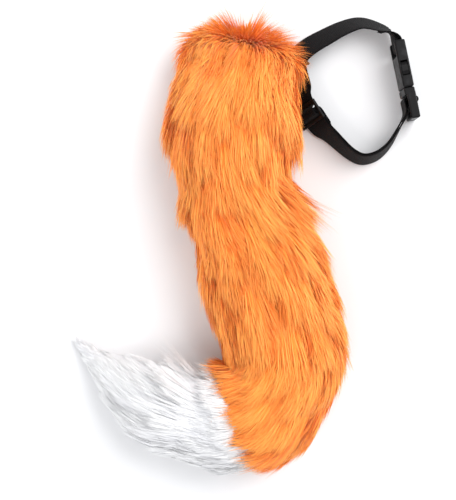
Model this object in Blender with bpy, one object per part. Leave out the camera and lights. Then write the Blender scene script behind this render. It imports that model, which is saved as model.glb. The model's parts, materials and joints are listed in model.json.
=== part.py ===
"""A costume animal tail that ties round the waist, lying on a flat surface.

The tail is a stuffed plush tube, orange with a white tip. Its long fur is modelled as pointed locks
fused to the stuffed core. A webbing belt runs through a keeper in the side seam of the tail's root
and closes with a side release buckle, which stands on its narrow edge. The belt's adjusting run is
doubled between the buckle's plug and a three bar slider.

Metres, +Z up. Everything hangs on one empty, which sets the middle of the whole thing's footprint
at the origin.
"""

import math
import random
from collections import namedtuple

import bmesh
import bpy
import numpy as np
from mathutils import Vector

MM = 0.001
SEED = 11

# Running clearances
TOUCH_GAP = 0.3 * MM
LAYER_GAP = 0.35 * MM
WRAP_GAP = 0.5 * MM

# Tail, over the fur
TAIL_LENGTH = 502 * MM
TAIL_WIDTH = 108 * MM
TAIL_HEIGHT = 84 * MM
ROOT_START = 12 * MM
TIP_START = 0.690
TAIL_HEADING_DEG = -102.5
ROOT_AT = (16.5 * MM, 185.0 * MM)
BELLY_SHARE = 0.42
SETTLE = 1.25
CORE_SIDES = 20
BODY_RING_STEP = 17 * MM
TIP_RING_STEP = 14 * MM
TIP_ROOT_SHARE = 0.86

# Fur locks
BODY_PILE = 10 * MM
TIP_PILE = 5.5 * MM
LOCK_LENGTH = 64 * MM
LOCK_WIDTH = 29 * MM
LOCK_RIDGE = 3.2 * MM
LOCK_ROW_STEP = 37 * MM
TIP_LOCK_LENGTH = 46 * MM
TIP_LOCK_WIDTH = 21 * MM
TIP_LOCK_RIDGE = 2.0 * MM
TIP_LOCK_ROW_STEP = 30 * MM
SKIRT_LENGTH = 44 * MM
SKIRT_ROOTED = 0.75
SKIRT_SLANT = 8 * MM
TUFT_LENGTH = 26 * MM
TUFT_SLANT = 0.34
LOCK_ROOT = 4.5 * MM
LOCK_FLOOR = 1.0 * MM
LOCK_SWEEP = 0.85
BELT_CLEAR_DEG = 14
PINCH_RADIUS = 24 * MM
LOCKS_FROM_DEG = -18
LOCKS_TO_DEG = 198
BODY_LOCKS_ROUND = 9
TIP_LOCKS_ROUND = 8
TUFTS_ROUND = 7
ROOT_ROUNDING = 0.86

# Webbing belt
WEBBING_WIDTH = 25 * MM
WEBBING_THICKNESS = 1.3 * MM
LOOP_LENGTH = 124 * MM
LOOP_DEPTH = 96 * MM
BELT_SEAT = 31 * MM
BELT_TUCK = 3.4 * MM
FLOOR_LIFT = 0.3 * MM
STATION_STEP = 5 * MM
SEWN_END = 24 * MM
SEWN_END_STEP = 13 * MM
WRAP_STEPS = 6
FOLD_RADIUS = 2.6 * MM
FOLD_STEPS = 4
SLIDER_CLEAR = 18 * MM
PLUG_CLEAR = 10 * MM
SOCKET_CLEAR = 14 * MM
LIFT_FADE = 0.35
SLIDER_FLAT = 11 * MM
SLIDER_EASE = 12 * MM

# Keeper
KEEPER_LENGTH = 16 * MM
KEEPER_WALL = 1.2 * MM
KEEPER_TAB = 13 * MM
KEEPER_TAB_LOW = 0.22

# Side release buckle
BUCKLE_LENGTH = 66.4 * MM
BUCKLE_WIDTH = 33.5 * MM
BUCKLE_THICKNESS = 9.2 * MM
BUCKLE_HEADING_DEG = -78.27
SOCKET_LENGTH = 40 * MM
BUCKLE_WALL = 1.6 * MM
STRAP_SLOT_SPARE = 0.9 * MM
STRAP_BAR_THICKNESS = 3.0 * MM
SOCKET_BAR_WIDTH = 7.5 * MM
SOCKET_SLOT = 5.0 * MM
PLUG_COLLAR = 6.0 * MM
PLUG_BAR_BACK = 15.9 * MM
PLUG_BAR_RISE = 3.6 * MM
PLUG_END_BAR = 6.2 * MM
WINDOW_LENGTH = 12.5 * MM
WINDOW_FROM_COLLAR = 10.0 * MM
ARM_THICKNESS = 2.6 * MM
STRAP_SIDE = 3.8 * MM
SOCKET_EDGE = 1.4 * MM
PLUG_EDGE = 1.2 * MM
BAR_EDGE = 1.3 * MM
BAR_INSET = 0.5 * MM
BAR_ROOT = 1.5 * MM
COLLAR_STEP = 0.2 * MM
CAVITY_SIDE = 2.2 * MM
CAVITY_START = 2.0 * MM
TONGUE_LENGTH = 15 * MM
TONGUE_WIDTH = 4.6 * MM
PAD_CLEARANCE = 0.8 * MM
ARM_CLEARANCE = 0.35 * MM
ARM_HEIGHT = 0.20
CUTTER_SPARE = 1.0 * MM

# Three bar slider
SLIDER_WIDTH = 31 * MM
SLIDER_BAR = 2.6 * MM
SLIDER_MID_BAR = 2.0 * MM
SLIDER_SLOT = 5.3 * MM
SLIDER_THICKNESS = 2.0 * MM
SLIDER_EDGE = 0.5 * MM

Bend = namedtuple("Bend", "share turn_deg")
TAIL_BENDS = (
    Bend(0.165, 7.4),
    Bend(0.150, 24.2),
    Bend(0.205, -3.1),
    Bend(0.237, -120.4),
    Bend(0.243, -33.5),
)

# Width and height over the fur, as shares of TAIL_WIDTH and TAIL_HEIGHT, along the tail's length
Section = namedtuple("Section", "along width height")
TAIL_SECTIONS = (
    Section(0.000, 0.84, 0.56),
    Section(0.030, 0.96, 0.72),
    Section(0.100, 0.98, 0.86),
    Section(0.180, 1.00, 0.98),
    Section(0.250, 0.89, 0.98),
    Section(0.330, 0.90, 0.96),
    Section(0.420, 0.96, 1.00),
    Section(0.520, 0.95, 1.00),
    Section(0.600, 0.93, 1.00),
    Section(0.660, 0.98, 1.00),
    Section(0.719, 0.86, 0.92),
    Section(0.760, 0.74, 0.82),
    Section(0.810, 0.70, 0.76),
    Section(0.860, 0.58, 0.64),
    Section(0.910, 0.41, 0.46),
    Section(0.960, 0.21, 0.26),
    Section(1.000, 0.05, 0.08),
)

# The belt's lower edge, seen from above: along the buckle from its middle and in from the buckle,
# as shares of LOOP_LENGTH and LOOP_DEPTH, then its lean in over the loop and its height as a share
# of the strap's height in the buckle
BeltBend = namedtuple("BeltBend", "along inward lean_deg height")
BELT_BENDS = (
    BeltBend(-0.380, 0.014, 20, 0.55),
    BeltBend(-0.436, 0.090, 26, 0.20),
    BeltBend(-0.491, 0.211, 30, 0.0),
    BeltBend(-0.508, 0.319, 33, 0.0),
    BeltBend(-0.497, 0.472, 37, 0.0),
    BeltBend(-0.469, 0.624, 41, 0.0),
    BeltBend(-0.437, 0.768, 43, 0.0),
    BeltBend(-0.383, 0.900, 44, 0.0),
    BeltBend(-0.302, 0.986, 44, 0.0),
    BeltBend(-0.210, 1.000, 43, 0.0),
    BeltBend(-0.107, 0.984, 41, 0.0),
    BeltBend(0.000, 0.974, 38, 0.0),
    BeltBend(0.110, 0.953, 36, 0.0),
    BeltBend(0.200, 0.876, 31, 0.0),
    BeltBend(0.297, 0.761, 21, 0.0),
    BeltBend(0.424, 0.628, 15, 0.0),
    BeltBend(0.492, 0.510, 15, 0.0),
    BeltBend(0.485, 0.359, 13, 0.0),
    BeltBend(0.419, 0.228, 9, 0.15),
    BeltBend(0.314, 0.119, 5, 0.55),
)
SLIDER_ROW = 12
KEEPER_ROW = 8

# Distances from the socket's end and from the plug's end that the belt's line runs through
SOCKET_ENTRY = (21 * MM, 14 * MM, 7 * MM, 0.0, -5 * MM)
PLUG_EXIT = (5.8 * MM, 12.4 * MM, 19.4 * MM, 26.4 * MM, 33.4 * MM)

# The webbing on its way round a bar: along the belt, as a share of the named reach of its fitting,
# and out of the loop, as a share of the wrap, of the climb or of the depth under the slider
Station = namedtuple("Station", "along out")
SOCKET_INSIDE = (Station(0.32, -0.72), Station(0.12, -1.0), Station(-0.08, -1.0))
SOCKET_OUTSIDE = (Station(-0.08, 1.0), Station(0.12, 0.85), Station(0.32, 0.3))
PLUG_CLIMB = (Station(-0.272, 0.10), Station(-0.184, 0.32), Station(-0.124, 0.68))
PLUG_DROP = 0.55
SLIDER_PASS = (Station(1.0, 0.0), Station(0.64, 0.0), Station(0.494, 0.433), Station(0.326, 1.0))
ANCHOR_IN = (Station(1.35, 1.0), Station(0.79, 1.0), Station(0.44, 0.72))
ANCHOR_OUT = (
    Station(-0.20, 0.75),
    Station(-0.02, 1.344),
    Station(0.34, 1.481),
    Station(0.90, 1.458),
    Station(1.46, 1.458),
)

# A sprung arm's release pad: along it as a share of the pad's length, and in from the buckle's side
# as a share of its width
ArmCorner = namedtuple("ArmCorner", "along inward")
ARM_PAD = (
    ArmCorner(1.000, 0.200),
    ArmCorner(0.183, 0.185),
    ArmCorner(0.000, 0.140),
    ArmCorner(0.037, 0.048),
    ArmCorner(0.275, 0.006),
    ArmCorner(0.725, 0.003),
    ArmCorner(1.000, 0.027),
    ArmCorner(1.028, 0.090),
)

Finish = namedtuple("Finish", "colour roughness")
FINISHES = {
    "plush_orange": Finish((0.95, 0.34, 0.06), 0.85),
    "plush_white": Finish((0.90, 0.90, 0.91), 0.85),
    "webbing_black": Finish((0.018, 0.017, 0.019), 0.75),
    "buckle_plastic": Finish((0.03, 0.03, 0.033), 0.45),
}


def clear_scene():
    """Remove whatever the file opened with."""
    for thing in list(bpy.data.objects):
        bpy.data.objects.remove(thing)


def finish_material(name):
    """The Principled material called name, made on first use."""
    found = bpy.data.materials.get(name)
    if found:
        return found
    finish = FINISHES[name]
    material = bpy.data.materials.new(name)
    material.use_nodes = True
    shader = material.node_tree.nodes["Principled BSDF"]
    shader.inputs["Base Color"].default_value = (*finish.colour, 1.0)
    shader.inputs["Roughness"].default_value = finish.roughness
    shader.inputs["Metallic"].default_value = 0.0
    return material


def object_of(sheet, name, finish):
    """An object of a bmesh, its faces turned outwards, in the named finish."""
    bmesh.ops.recalc_face_normals(sheet, faces=sheet.faces)
    if sheet.calc_volume(signed=True) < 0:
        bmesh.ops.reverse_faces(sheet, faces=sheet.faces)
    mesh = bpy.data.meshes.new(name)
    sheet.to_mesh(mesh)
    sheet.free()
    made = bpy.data.objects.new(name, mesh)
    bpy.context.collection.objects.link(made)
    if finish:
        mesh.materials.append(finish_material(finish))
    return made


def make_object(name, verts, faces, finish=None):
    """An object from points and faces."""
    sheet = bmesh.new()
    corners = [sheet.verts.new(point) for point in verts]
    for face in faces:
        sheet.faces.new([corners[k] for k in face])
    return object_of(sheet, name, finish)


def combine(target, tool, operation, solver="EXACT"):
    """Union or difference of target with tool, which is used up."""
    modifier = target.modifiers.new(operation.lower(), "BOOLEAN")
    modifier.operation = operation
    modifier.solver = solver
    modifier.object = tool
    shaped = target.evaluated_get(bpy.context.evaluated_depsgraph_get())
    mesh = bpy.data.meshes.new_from_object(shaped)
    target.modifiers.clear()
    target.data = mesh
    bpy.data.objects.remove(tool)


def smooth(share):
    """A share from 0 to 1, eased at both ends."""
    held = min(max(share, 0.0), 1.0)
    return held * held * (3.0 - 2.0 * held)


def catmull(rows, per_span):
    """Points of a smooth curve through rows, per_span to each span, with its last point."""
    rows = np.asarray(rows, float)
    padded = np.vstack((2 * rows[0] - rows[1], rows, 2 * rows[-1] - rows[-2]))
    points = []
    for i in range(1, len(padded) - 2):
        before, start, end, after = padded[i - 1:i + 3]
        for step in range(per_span):
            t = step / per_span
            points.append(0.5 * (
                2 * start
                + (end - before) * t
                + (2 * before - 5 * start + 4 * end - after) * t ** 2
                + (3 * start - before - 3 * end + after) * t ** 3
            ))
    points.append(rows[-1])
    return np.array(points)


def column(table, field):
    """Shares along the tail and one column of a table of sections, finely resampled."""
    rows = [(row.along, getattr(row, field)) for row in table]
    fine = catmull(rows, 8)
    return fine[:, 0], fine[:, 1]


WIDTH_CURVE = column(TAIL_SECTIONS, "width")
HEIGHT_CURVE = column(TAIL_SECTIONS, "height")


def spine_at(distance):
    """Place and heading on the tail's centreline, a distance from its root along the arcs."""
    place = np.array(ROOT_AT)
    heading = math.radians(TAIL_HEADING_DEG)
    left = distance
    for number, bend in enumerate(TAIL_BENDS):
        span = bend.share * TAIL_LENGTH
        last = number == len(TAIL_BENDS) - 1
        run = left if last else min(left, span)
        curvature = math.radians(bend.turn_deg) / span
        turned = heading + curvature * run
        place = place + np.array((
            (math.sin(turned) - math.sin(heading)) / curvature,
            (math.cos(heading) - math.cos(turned)) / curvature,
        ))
        heading = turned
        left -= run
        if left <= 0:
            break
    return place, heading


def outer_size(distance):
    """Half width and height over the fur at a distance along the tail."""
    share = distance / TAIL_LENGTH
    half = 0.5 * TAIL_WIDTH * float(np.interp(share, *WIDTH_CURVE))
    height = TAIL_HEIGHT * float(np.interp(share, *HEIGHT_CURVE))
    return half, height


def core_size(distance, pile):
    """Half width and height of the stuffed core beneath fur of this depth."""
    half, height = outer_size(distance)
    depth = min(pile, 0.45 * half)
    return half - depth, height - depth


def skin_point(distance, angle, lift, pile, swell=1.0):
    """A point above the core's skin, on the section at a distance, at an angle from its right."""
    place, heading = spine_at(distance)
    half, height = core_size(distance, pile)
    belly = BELLY_SHARE * height
    rise = (height - belly) if math.sin(angle) > 0 else SETTLE * belly
    across = (half * swell + lift) * math.cos(angle)
    up = belly + (rise * swell + lift) * math.sin(angle)
    side = np.array((-math.sin(heading), math.cos(heading)))
    flat = place + side * across
    return Vector((flat[0], flat[1], up))


def core_rings(start, end, step, pile, swells):
    """Rings of the core from start to end, flattened where they rest, each swollen by its share."""
    count = max(3, round((end - start) / step))
    rings = []
    for i in range(count + 1):
        distance = start + (end - start) * i / count
        swell = swells(i / count)
        ring = []
        for k in range(CORE_SIDES):
            angle = 2 * math.pi * k / CORE_SIDES
            point = skin_point(distance, angle, 0.0, pile, swell)
            point.z = max(point.z, 0.0)
            ring.append(point)
        rings.append(ring)
    return rings


def skin_over(rings, name, finish):
    """A closed object over a row of rings, with a flat or fanned cap at each end."""
    sides = len(rings[0])
    verts = [point for ring in rings for point in ring]
    faces = []
    for row in range(len(rings) - 1):
        for k in range(sides):
            low = row * sides + k
            side = row * sides + (k + 1) % sides
            faces.append((low, side, side + sides, low + sides))
    faces.append(tuple(range(sides)))
    last = (len(rings) - 1) * sides
    faces.append(tuple(last + k for k in reversed(range(sides))))
    return make_object(name, verts, faces, finish)


# Places along a lock, as shares: distance, half width, rise over the skin, ridge, depth of root
LockRing = namedtuple("LockRing", "along spread lift ridge sink")
LOCK_RINGS = (
    LockRing(0.00, 0.70, 0.00, 0.55, 1.00),
    LockRing(0.34, 1.00, 0.20, 1.00, 0.00),
    LockRing(0.70, 0.62, 0.78, 0.80, 0.00),
)

Lock = namedtuple("Lock", "distance angle length width rise drift ridge")


def lock_solid(lock, pile, verts, faces):
    """Add one pointed lock, a flat ridged wedge whose root is buried in the core."""
    base = len(verts)
    for ring in LOCK_RINGS:
        distance = lock.distance + lock.length * ring.along
        angle = lock.angle + lock.drift * ring.along
        half, _ = core_size(abs(distance), pile)
        sweep = 0.5 * ring.spread * min(lock.width / half, LOCK_SWEEP)
        lift = lock.rise * ring.lift - LOCK_ROOT * ring.sink
        crown = lift + lock.ridge * ring.ridge
        under = lift - lock.ridge * (1.2 - ring.along)
        for turn, height in ((sweep, lift), (0.0, crown), (-sweep, lift), (0.0, under)):
            verts.append(fur_point(distance, angle + turn, height, pile))
    tip_distance = lock.distance + lock.length
    verts.append(fur_point(tip_distance, lock.angle + lock.drift, lock.rise, pile))
    count = len(LOCK_RINGS)
    faces.append(tuple(base + k for k in range(4)))
    for row in range(count - 1):
        for k in range(4):
            low = base + 4 * row + k
            side = base + 4 * row + (k + 1) % 4
            faces.append((low, low + 4, side + 4, side))
    last = base + 4 * (count - 1)
    tip = base + 4 * count
    for k in range(4):
        faces.append((last + k, tip, last + (k + 1) % 4))


def fur_point(distance, angle, height, pile):
    """A point over the skin that stays above the floor."""
    point = skin_point(distance, angle, height, pile)
    point.z = max(point.z, LOCK_FLOOR)
    return point


def fuse_locks(target, locks, pile):
    """Fuse rows of locks to the core: every second lock of a row at a time, so that none touch."""
    for row in locks:
        for start in (0, 1):
            verts = []
            faces = []
            for lock in row[start::2]:
                lock_solid(lock, pile, verts, faces)
            if faces:
                combine(target, make_object("locks", verts, faces), "UNION", "MANIFOLD")
    drop_crumbs(target)


def drop_crumbs(target):
    """Remove the specks that crossing lock edges leave beside the one large body."""
    sheet = bmesh.new()
    sheet.from_mesh(target.data)
    islands = []
    left = set(sheet.faces)
    while left:
        island = {left.pop()}
        edge_of = list(island)
        while edge_of:
            near = {other for edge in edge_of.pop().edges for other in edge.link_faces} - island
            island |= near
            edge_of += near
        left -= island
        islands.append(island)
    body = max(islands, key=len)
    crumbs = [face for face in sheet.faces if face not in body]
    bmesh.ops.delete(sheet, geom=crumbs, context="FACES")
    sheet.to_mesh(target.data)
    sheet.free()


def over_belt(lock):
    """Whether a lock clears the belt, which lies low beside the root."""
    beside = lock.distance < BELT_SEAT + 0.5 * LOOP_LENGTH and math.cos(lock.angle) > 0
    return not beside or lock.angle > math.radians(BELT_CLEAR_DEG)


def unpinched(lock):
    """Whether a lock keeps out of the crease on the inner side of the bend."""
    _, here = spine_at(lock.distance)
    _, ahead = spine_at(lock.distance + lock.length)
    turn = abs(ahead - here)
    if turn < 1e-3 or math.cos(lock.angle) > 0:
        return True
    half, _ = core_size(lock.distance, BODY_PILE)
    return lock.length / turn + half * math.cos(lock.angle) > PINCH_RADIUS


def lock_row(dice, distance, count, length, width, rise, ridge, shift):
    """One row of locks round the upper side of the tail, from low on one side to the other."""
    row = []
    for k in range(count):
        share = (k + 0.5 * shift) / max(count - 1, 1)
        angle = math.radians(LOCKS_FROM_DEG + (LOCKS_TO_DEG - LOCKS_FROM_DEG) * share)
        row.append(Lock(
            distance + dice.uniform(-0.10, 0.10) * length,
            angle + dice.uniform(-0.05, 0.05),
            length * dice.uniform(0.86, 1.14),
            width * dice.uniform(0.88, 1.08),
            rise * dice.uniform(0.75, 1.20),
            dice.uniform(-0.10, 0.10),
            ridge,
        ))
    return row


def body_locks():
    """Rows of locks down the body, the last a skirt that hangs over the white tip's root."""
    dice = random.Random(SEED)
    end = TIP_START * TAIL_LENGTH
    rows = []
    first = ROOT_START + 0.35 * LOCK_ROW_STEP
    count = round((end - SKIRT_LENGTH - first) / LOCK_ROW_STEP)
    for i in range(count + 1):
        distance = first + (end - SKIRT_LENGTH * SKIRT_ROOTED - first) * i / count
        length = SKIRT_LENGTH if i == count else LOCK_LENGTH
        rows.append(lock_row(
            dice, distance, BODY_LOCKS_ROUND - i % 2, length, LOCK_WIDTH, BODY_PILE, LOCK_RIDGE,
            i % 2,
        ))
    rows[-1] = [
        lock._replace(distance=lock.distance - SKIRT_SLANT * math.cos(lock.angle))
        for lock in rows[-1]
    ]
    rows = [[lock for lock in row if over_belt(lock) and unpinched(lock)] for row in rows]
    return rows[::-1] + [tuft_row(dice)]


def tuft_row(dice):
    """Short locks that stand out past the root's end."""
    row = []
    for k in range(TUFTS_ROUND):
        angle = math.pi * (k + 0.15) / (TUFTS_ROUND - 0.7)
        reach = TUFT_LENGTH * (0.95 + TUFT_SLANT * math.cos(angle))
        row.append(Lock(
            ROOT_START + 0.5 * TUFT_LENGTH,
            angle + dice.uniform(-0.06, 0.06),
            -reach * dice.uniform(0.95, 1.15),
            0.8 * LOCK_WIDTH,
            0.25 * BODY_PILE,
            0.0,
            LOCK_RIDGE,
        ))
    return row


def tip_locks():
    """Finer rows of locks along the white tip, closing to its point."""
    dice = random.Random(SEED + 1)
    start = TIP_START * TAIL_LENGTH + SKIRT_LENGTH * 0.45
    end = TAIL_LENGTH - 1.35 * TIP_LOCK_LENGTH
    count = round((end - start) / TIP_LOCK_ROW_STEP)
    rows = []
    for i in range(count + 1):
        distance = start + (end - start) * i / count
        half, _ = outer_size(distance)
        width = min(TIP_LOCK_WIDTH, 0.85 * half)
        rows.append(lock_row(
            dice, distance, TIP_LOCKS_ROUND - i % 2, TIP_LOCK_LENGTH, width,
            min(TIP_PILE, 0.25 * half), TIP_LOCK_RIDGE, i % 2,
        ))
    return rows[::-1]


def make_tail_body():
    """The orange body: a stuffed core with a rounded root, and its locks."""
    end = TIP_START * TAIL_LENGTH

    def rounded(share):
        return 1.0 if share > 0.0 else ROOT_ROUNDING

    rings = core_rings(ROOT_START, end, BODY_RING_STEP, BODY_PILE, rounded)
    body = skin_over(rings, "tail_body", "plush_orange")
    fuse_locks(body, body_locks(), BODY_PILE)
    return body


def make_tail_tip():
    """The white tip: its root tucks in under the body's skirt, and it closes to a point."""
    start = TIP_START * TAIL_LENGTH + TOUCH_GAP

    def tucked(share):
        return TIP_ROOT_SHARE + (1.0 - TIP_ROOT_SHARE) * smooth(share * 4.0)

    rings = core_rings(start, TAIL_LENGTH, TIP_RING_STEP, TIP_PILE, tucked)
    tip = skin_over(rings, "tail_tip", "plush_white")
    fuse_locks(tip, tip_locks(), TIP_PILE)
    return tip


class BuckleFrame:
    """Where the buckle stands: x along it from the socket's end, n out of the loop, z up."""

    def __init__(self):
        heading = math.radians(BUCKLE_HEADING_DEG)
        self.along = np.array((math.cos(heading), math.sin(heading)))
        self.outward = np.array((-self.along[1], self.along[0]))
        seat, tail_heading = spine_at(BELT_SEAT)
        side = np.array((-math.sin(tail_heading), math.cos(tail_heading)))
        half, _ = core_size(BELT_SEAT, BODY_PILE)
        far = seat + side * (half - BELT_TUCK)
        far_row = max(BELT_BENDS, key=lambda row: row.inward)
        self.middle = far + self.outward * LOOP_DEPTH - self.along * far_row.along * LOOP_LENGTH

    def flat(self, along, inward):
        """A point seen from above, from the buckle's middle."""
        return self.middle + self.along * along - self.outward * inward

    def point(self, x, n, z):
        """A point in the buckle's own axes."""
        spot = self.flat(x - 0.5 * BUCKLE_LENGTH, -n)
        return Vector((spot[0], spot[1], z))


class BeltLine:
    """The surface that the webbing follows, unrolled: s along it, o out of the loop, w across it.

    s is 0 at the socket's end and grows round the loop to the plug.
    """

    def __init__(self, frame):
        strap_z = 0.5 * (BUCKLE_WIDTH - WEBBING_WIDTH)
        half = 0.5 * BUCKLE_LENGTH
        rows = []
        for x in SOCKET_ENTRY:
            spot = frame.flat(x - half, 0.0)
            rows.append((spot[0], spot[1], 0.0, strap_z))
        first_row = len(rows)
        pitch = WEBBING_THICKNESS + LAYER_GAP
        slider_z = 0.5 * (SLIDER_WIDTH - WEBBING_WIDTH) + FLOOR_LIFT
        keeper_z = math.sqrt(2.0) * (LAYER_GAP + KEEPER_WALL) + 3 * FLOOR_LIFT
        for number, bend in enumerate(BELT_BENDS):
            spot = frame.flat(bend.along * LOOP_LENGTH, bend.inward * LOOP_DEPTH)
            beside_slider = slider_z * (1.0 - LIFT_FADE * abs(number - SLIDER_ROW))
            beside_keeper = keeper_z * (1.0 - LIFT_FADE * abs(number - KEEPER_ROW))
            sagging = FLOOR_LIFT + pitch * math.sin(math.radians(bend.lean_deg))
            lift = max(bend.height * strap_z, beside_slider, beside_keeper, sagging)
            rows.append((spot[0], spot[1], bend.lean_deg, lift))
        for back in PLUG_EXIT:
            spot = frame.flat(half - back, STRAP_SIDE)
            rows.append((spot[0], spot[1], 0.0, strap_z))
        spans = 10
        fine = catmull(rows, spans)
        steps = np.linalg.norm(np.diff(fine[:, :2], axis=0), axis=1)
        self.s = np.concatenate(((0.0,), np.cumsum(steps)))
        self.s -= self.s[SOCKET_ENTRY.index(0.0) * spans]
        self.fine = fine
        self.slider_s = self.s[(first_row + SLIDER_ROW) * spans]
        self.keeper_s = self.s[(first_row + KEEPER_ROW) * spans]
        self.plug_bar_s = self.s[(len(rows) - 4) * spans] + PLUG_BAR_BACK - PLUG_EXIT[1]
        self.slider_frame = self.raw(self.slider_s)

    def raw(self, s):
        """Middle, tangent, outward normal and width direction of the webbing at s."""
        ahead = self.edge(s + 0.5 * MM)
        behind = self.edge(s - 0.5 * MM)
        flat = Vector((ahead[0] - behind[0], ahead[1] - behind[1], 0.0)).normalized()
        inward = Vector((-flat.y, flat.x, 0.0))
        here = self.edge(s)
        lean = math.radians(here[2])
        across = inward * math.sin(lean) + Vector((0, 0, 1)) * math.cos(lean)
        outward = flat.cross(across)
        if outward.dot(inward) > 0:
            outward = -outward
        rest = 0.5 * (WEBBING_WIDTH * math.cos(lean) + WEBBING_THICKNESS * math.sin(lean))
        low = Vector((here[0], here[1], here[3]))
        middle = low + inward * (0.5 * WEBBING_WIDTH * math.sin(lean)) + Vector((0, 0, rest))
        return middle, flat, outward, across

    def edge(self, s):
        """Place of the lower edge, lean and lift at s, carried on straight past both ends."""
        held = min(max(s, self.s[0]), self.s[-1])
        row = np.array([np.interp(held, self.s, self.fine[:, k]) for k in range(4)])
        if s != held:
            near = np.array([
                np.interp(held + (MM if held > s else -MM), self.s, self.fine[:, k])
                for k in range(2)
            ])
            row[:2] += (row[:2] - near) / MM * abs(s - held)
        return row

    def at(self, s):
        """As raw, but flat and straight where the slider sits."""
        middle, tangent, outward, across = self.raw(s)
        away = abs(s - self.slider_s)
        share = 1.0 - smooth((away - SLIDER_FLAT) / SLIDER_EASE)
        if share <= 0.0:
            return middle, tangent, outward, across
        seat, run, out, wide = self.slider_frame
        middle = middle.lerp(seat + run * (s - self.slider_s), share)
        across = across.lerp(wide, share).normalized()
        outward = outward.lerp(out, share)
        outward = (outward - across * outward.dot(across)).normalized()
        tangent = tangent.lerp(run, share)
        return middle, tangent, outward, across

    def point(self, s, o, w):
        """A point at s along the belt, o out of the loop and w across it."""
        middle, _, outward, across = self.at(s)
        return middle + outward * o + across * w


def run_between(start, end, o):
    """Evenly spaced (s, o) stations along a plain run."""
    count = max(1, round(abs(end - start) / STATION_STEP))
    return [(start + (end - start) * i / count, o) for i in range(count + 1)]


def turn_round(s, o, radius, from_deg, to_deg, steps):
    """Stations on an arc about a bar."""
    stations = []
    for i in range(steps + 1):
        angle = math.radians(from_deg + (to_deg - from_deg) * i / steps)
        stations.append((s + radius * math.cos(angle), o + radius * math.sin(angle)))
    return stations


def webbing_route(line):
    """(s, o) stations of the whole webbing, from one sewn end to the other."""
    pitch = WEBBING_THICKNESS + LAYER_GAP
    wrap = 0.5 * (STRAP_BAR_THICKNESS + WEBBING_THICKNESS) + WRAP_GAP
    bar_s = 0.5 * STRAP_BAR_THICKNESS - SOCKET_BAR_WIDTH - BAR_INSET
    route = run_between(SEWN_END, SEWN_END_STEP, -pitch)
    route += [(row.along * WEBBING_WIDTH, row.out * wrap) for row in SOCKET_INSIDE]
    route += turn_round(bar_s, 0.0, wrap, -90, -270, WRAP_STEPS)
    route += [(row.along * WEBBING_WIDTH, row.out * wrap) for row in SOCKET_OUTSIDE]
    route += run_between(SOCKET_CLEAR, line.slider_s - SLIDER_CLEAR, 0.0)
    route += slider_weave(line.slider_s)
    plug_s = line.plug_bar_s
    climb = PLUG_BAR_RISE + STRAP_SIDE
    route += run_between(line.slider_s + SLIDER_CLEAR, plug_s - PLUG_CLEAR, 0.0)
    route += [(plug_s + row.along * WEBBING_WIDTH, row.out * climb) for row in PLUG_CLIMB]
    route += turn_round(plug_s, climb, wrap, 180, 0, WRAP_STEPS)
    route += [(plug_s + wrap, PLUG_DROP * climb)]
    fold_s = plug_s + wrap - FOLD_RADIUS
    route += turn_round(fold_s, FOLD_RADIUS - pitch, FOLD_RADIUS, 0, -90, FOLD_STEPS)
    route += run_between(plug_s - 0.6 * PLUG_CLEAR, line.slider_s + 1.2 * SLIDER_CLEAR, -pitch)
    route += slider_anchor(line.slider_s)
    return route


def slider_reach():
    """Half the slider's length along the belt."""
    return 0.5 * SLIDER_MID_BAR + SLIDER_SLOT + SLIDER_BAR


def slider_weave(seat):
    """Under an outer bar of the slider, over its middle bar and under the other outer bar."""
    under = -0.5 * (SLIDER_THICKNESS + WEBBING_THICKNESS) - TOUCH_GAP
    over = 0.5 * SLIDER_THICKNESS + 1.5 * WEBBING_THICKNESS + 3.2 * TOUCH_GAP
    reach = slider_reach()
    half = [(row.along * reach, under + row.out * (over - under)) for row in SLIDER_PASS]
    before = [(seat - s, o) for s, o in half]
    after = [(seat + s, o) for s, o in reversed(half)]
    return before + [(seat, over + 0.5 * LAYER_GAP)] + after


def slider_anchor(seat):
    """The sewn end: up through the slider, round its middle bar and back along itself."""
    pitch = WEBBING_THICKNESS + LAYER_GAP
    under = -0.5 * (SLIDER_THICKNESS + WEBBING_THICKNESS) - TOUCH_GAP - pitch
    wrap = 0.5 * (math.hypot(SLIDER_MID_BAR, SLIDER_THICKNESS) + WEBBING_THICKNESS + TOUCH_GAP)
    reach = slider_reach()
    stations = [(seat + row.along * reach, row.out * under) for row in ANCHOR_IN]
    stations += turn_round(seat, 0.0, wrap, -8, 188, WRAP_STEPS + 1)
    stations += [(seat + row.along * reach, row.out * under) for row in ANCHOR_OUT]
    stations += [(seat + SEWN_END, -2 * pitch)]
    return stations


def sweep_webbing(line, route, name, finish):
    """A flat ribbon along (s, o) stations, mitred at each."""
    middles = [line.point(s, o, 0.0) for s, o in route]
    verts = []
    for i, (s, _) in enumerate(route):
        across = line.at(s)[3]
        before = (middles[i] - middles[max(i - 1, 0)])
        after = (middles[min(i + 1, len(route) - 1)] - middles[i])
        sides = [across.cross(way).normalized() for way in (before, after) if way.length > 0]
        normal = sum(sides, Vector()).normalized()
        reach = 0.5 * WEBBING_THICKNESS / max(normal.dot(sides[0]), 0.6)
        wide = across * (0.5 * WEBBING_WIDTH)
        for w, n in ((-1, -1), (1, -1), (1, 1), (-1, 1)):
            verts.append(middles[i] + wide * w + normal * (reach * n))
    rings = [verts[k:k + 4] for k in range(0, len(verts), 4)]
    return skin_over(rings, name, finish)


def line_box(line, s_range, o_range, w_range, name, steps=4, finish=None):
    """A block swept along the belt's line."""
    rings = []
    for i in range(steps + 1):
        s = s_range[0] + (s_range[1] - s_range[0]) * i / steps
        corners = (
            (o_range[0], w_range[0]), (o_range[1], w_range[0]),
            (o_range[1], w_range[1]), (o_range[0], w_range[1]),
        )
        rings.append([line.point(s, o, w) for o, w in corners])
    return skin_over(rings, name, finish)


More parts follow.
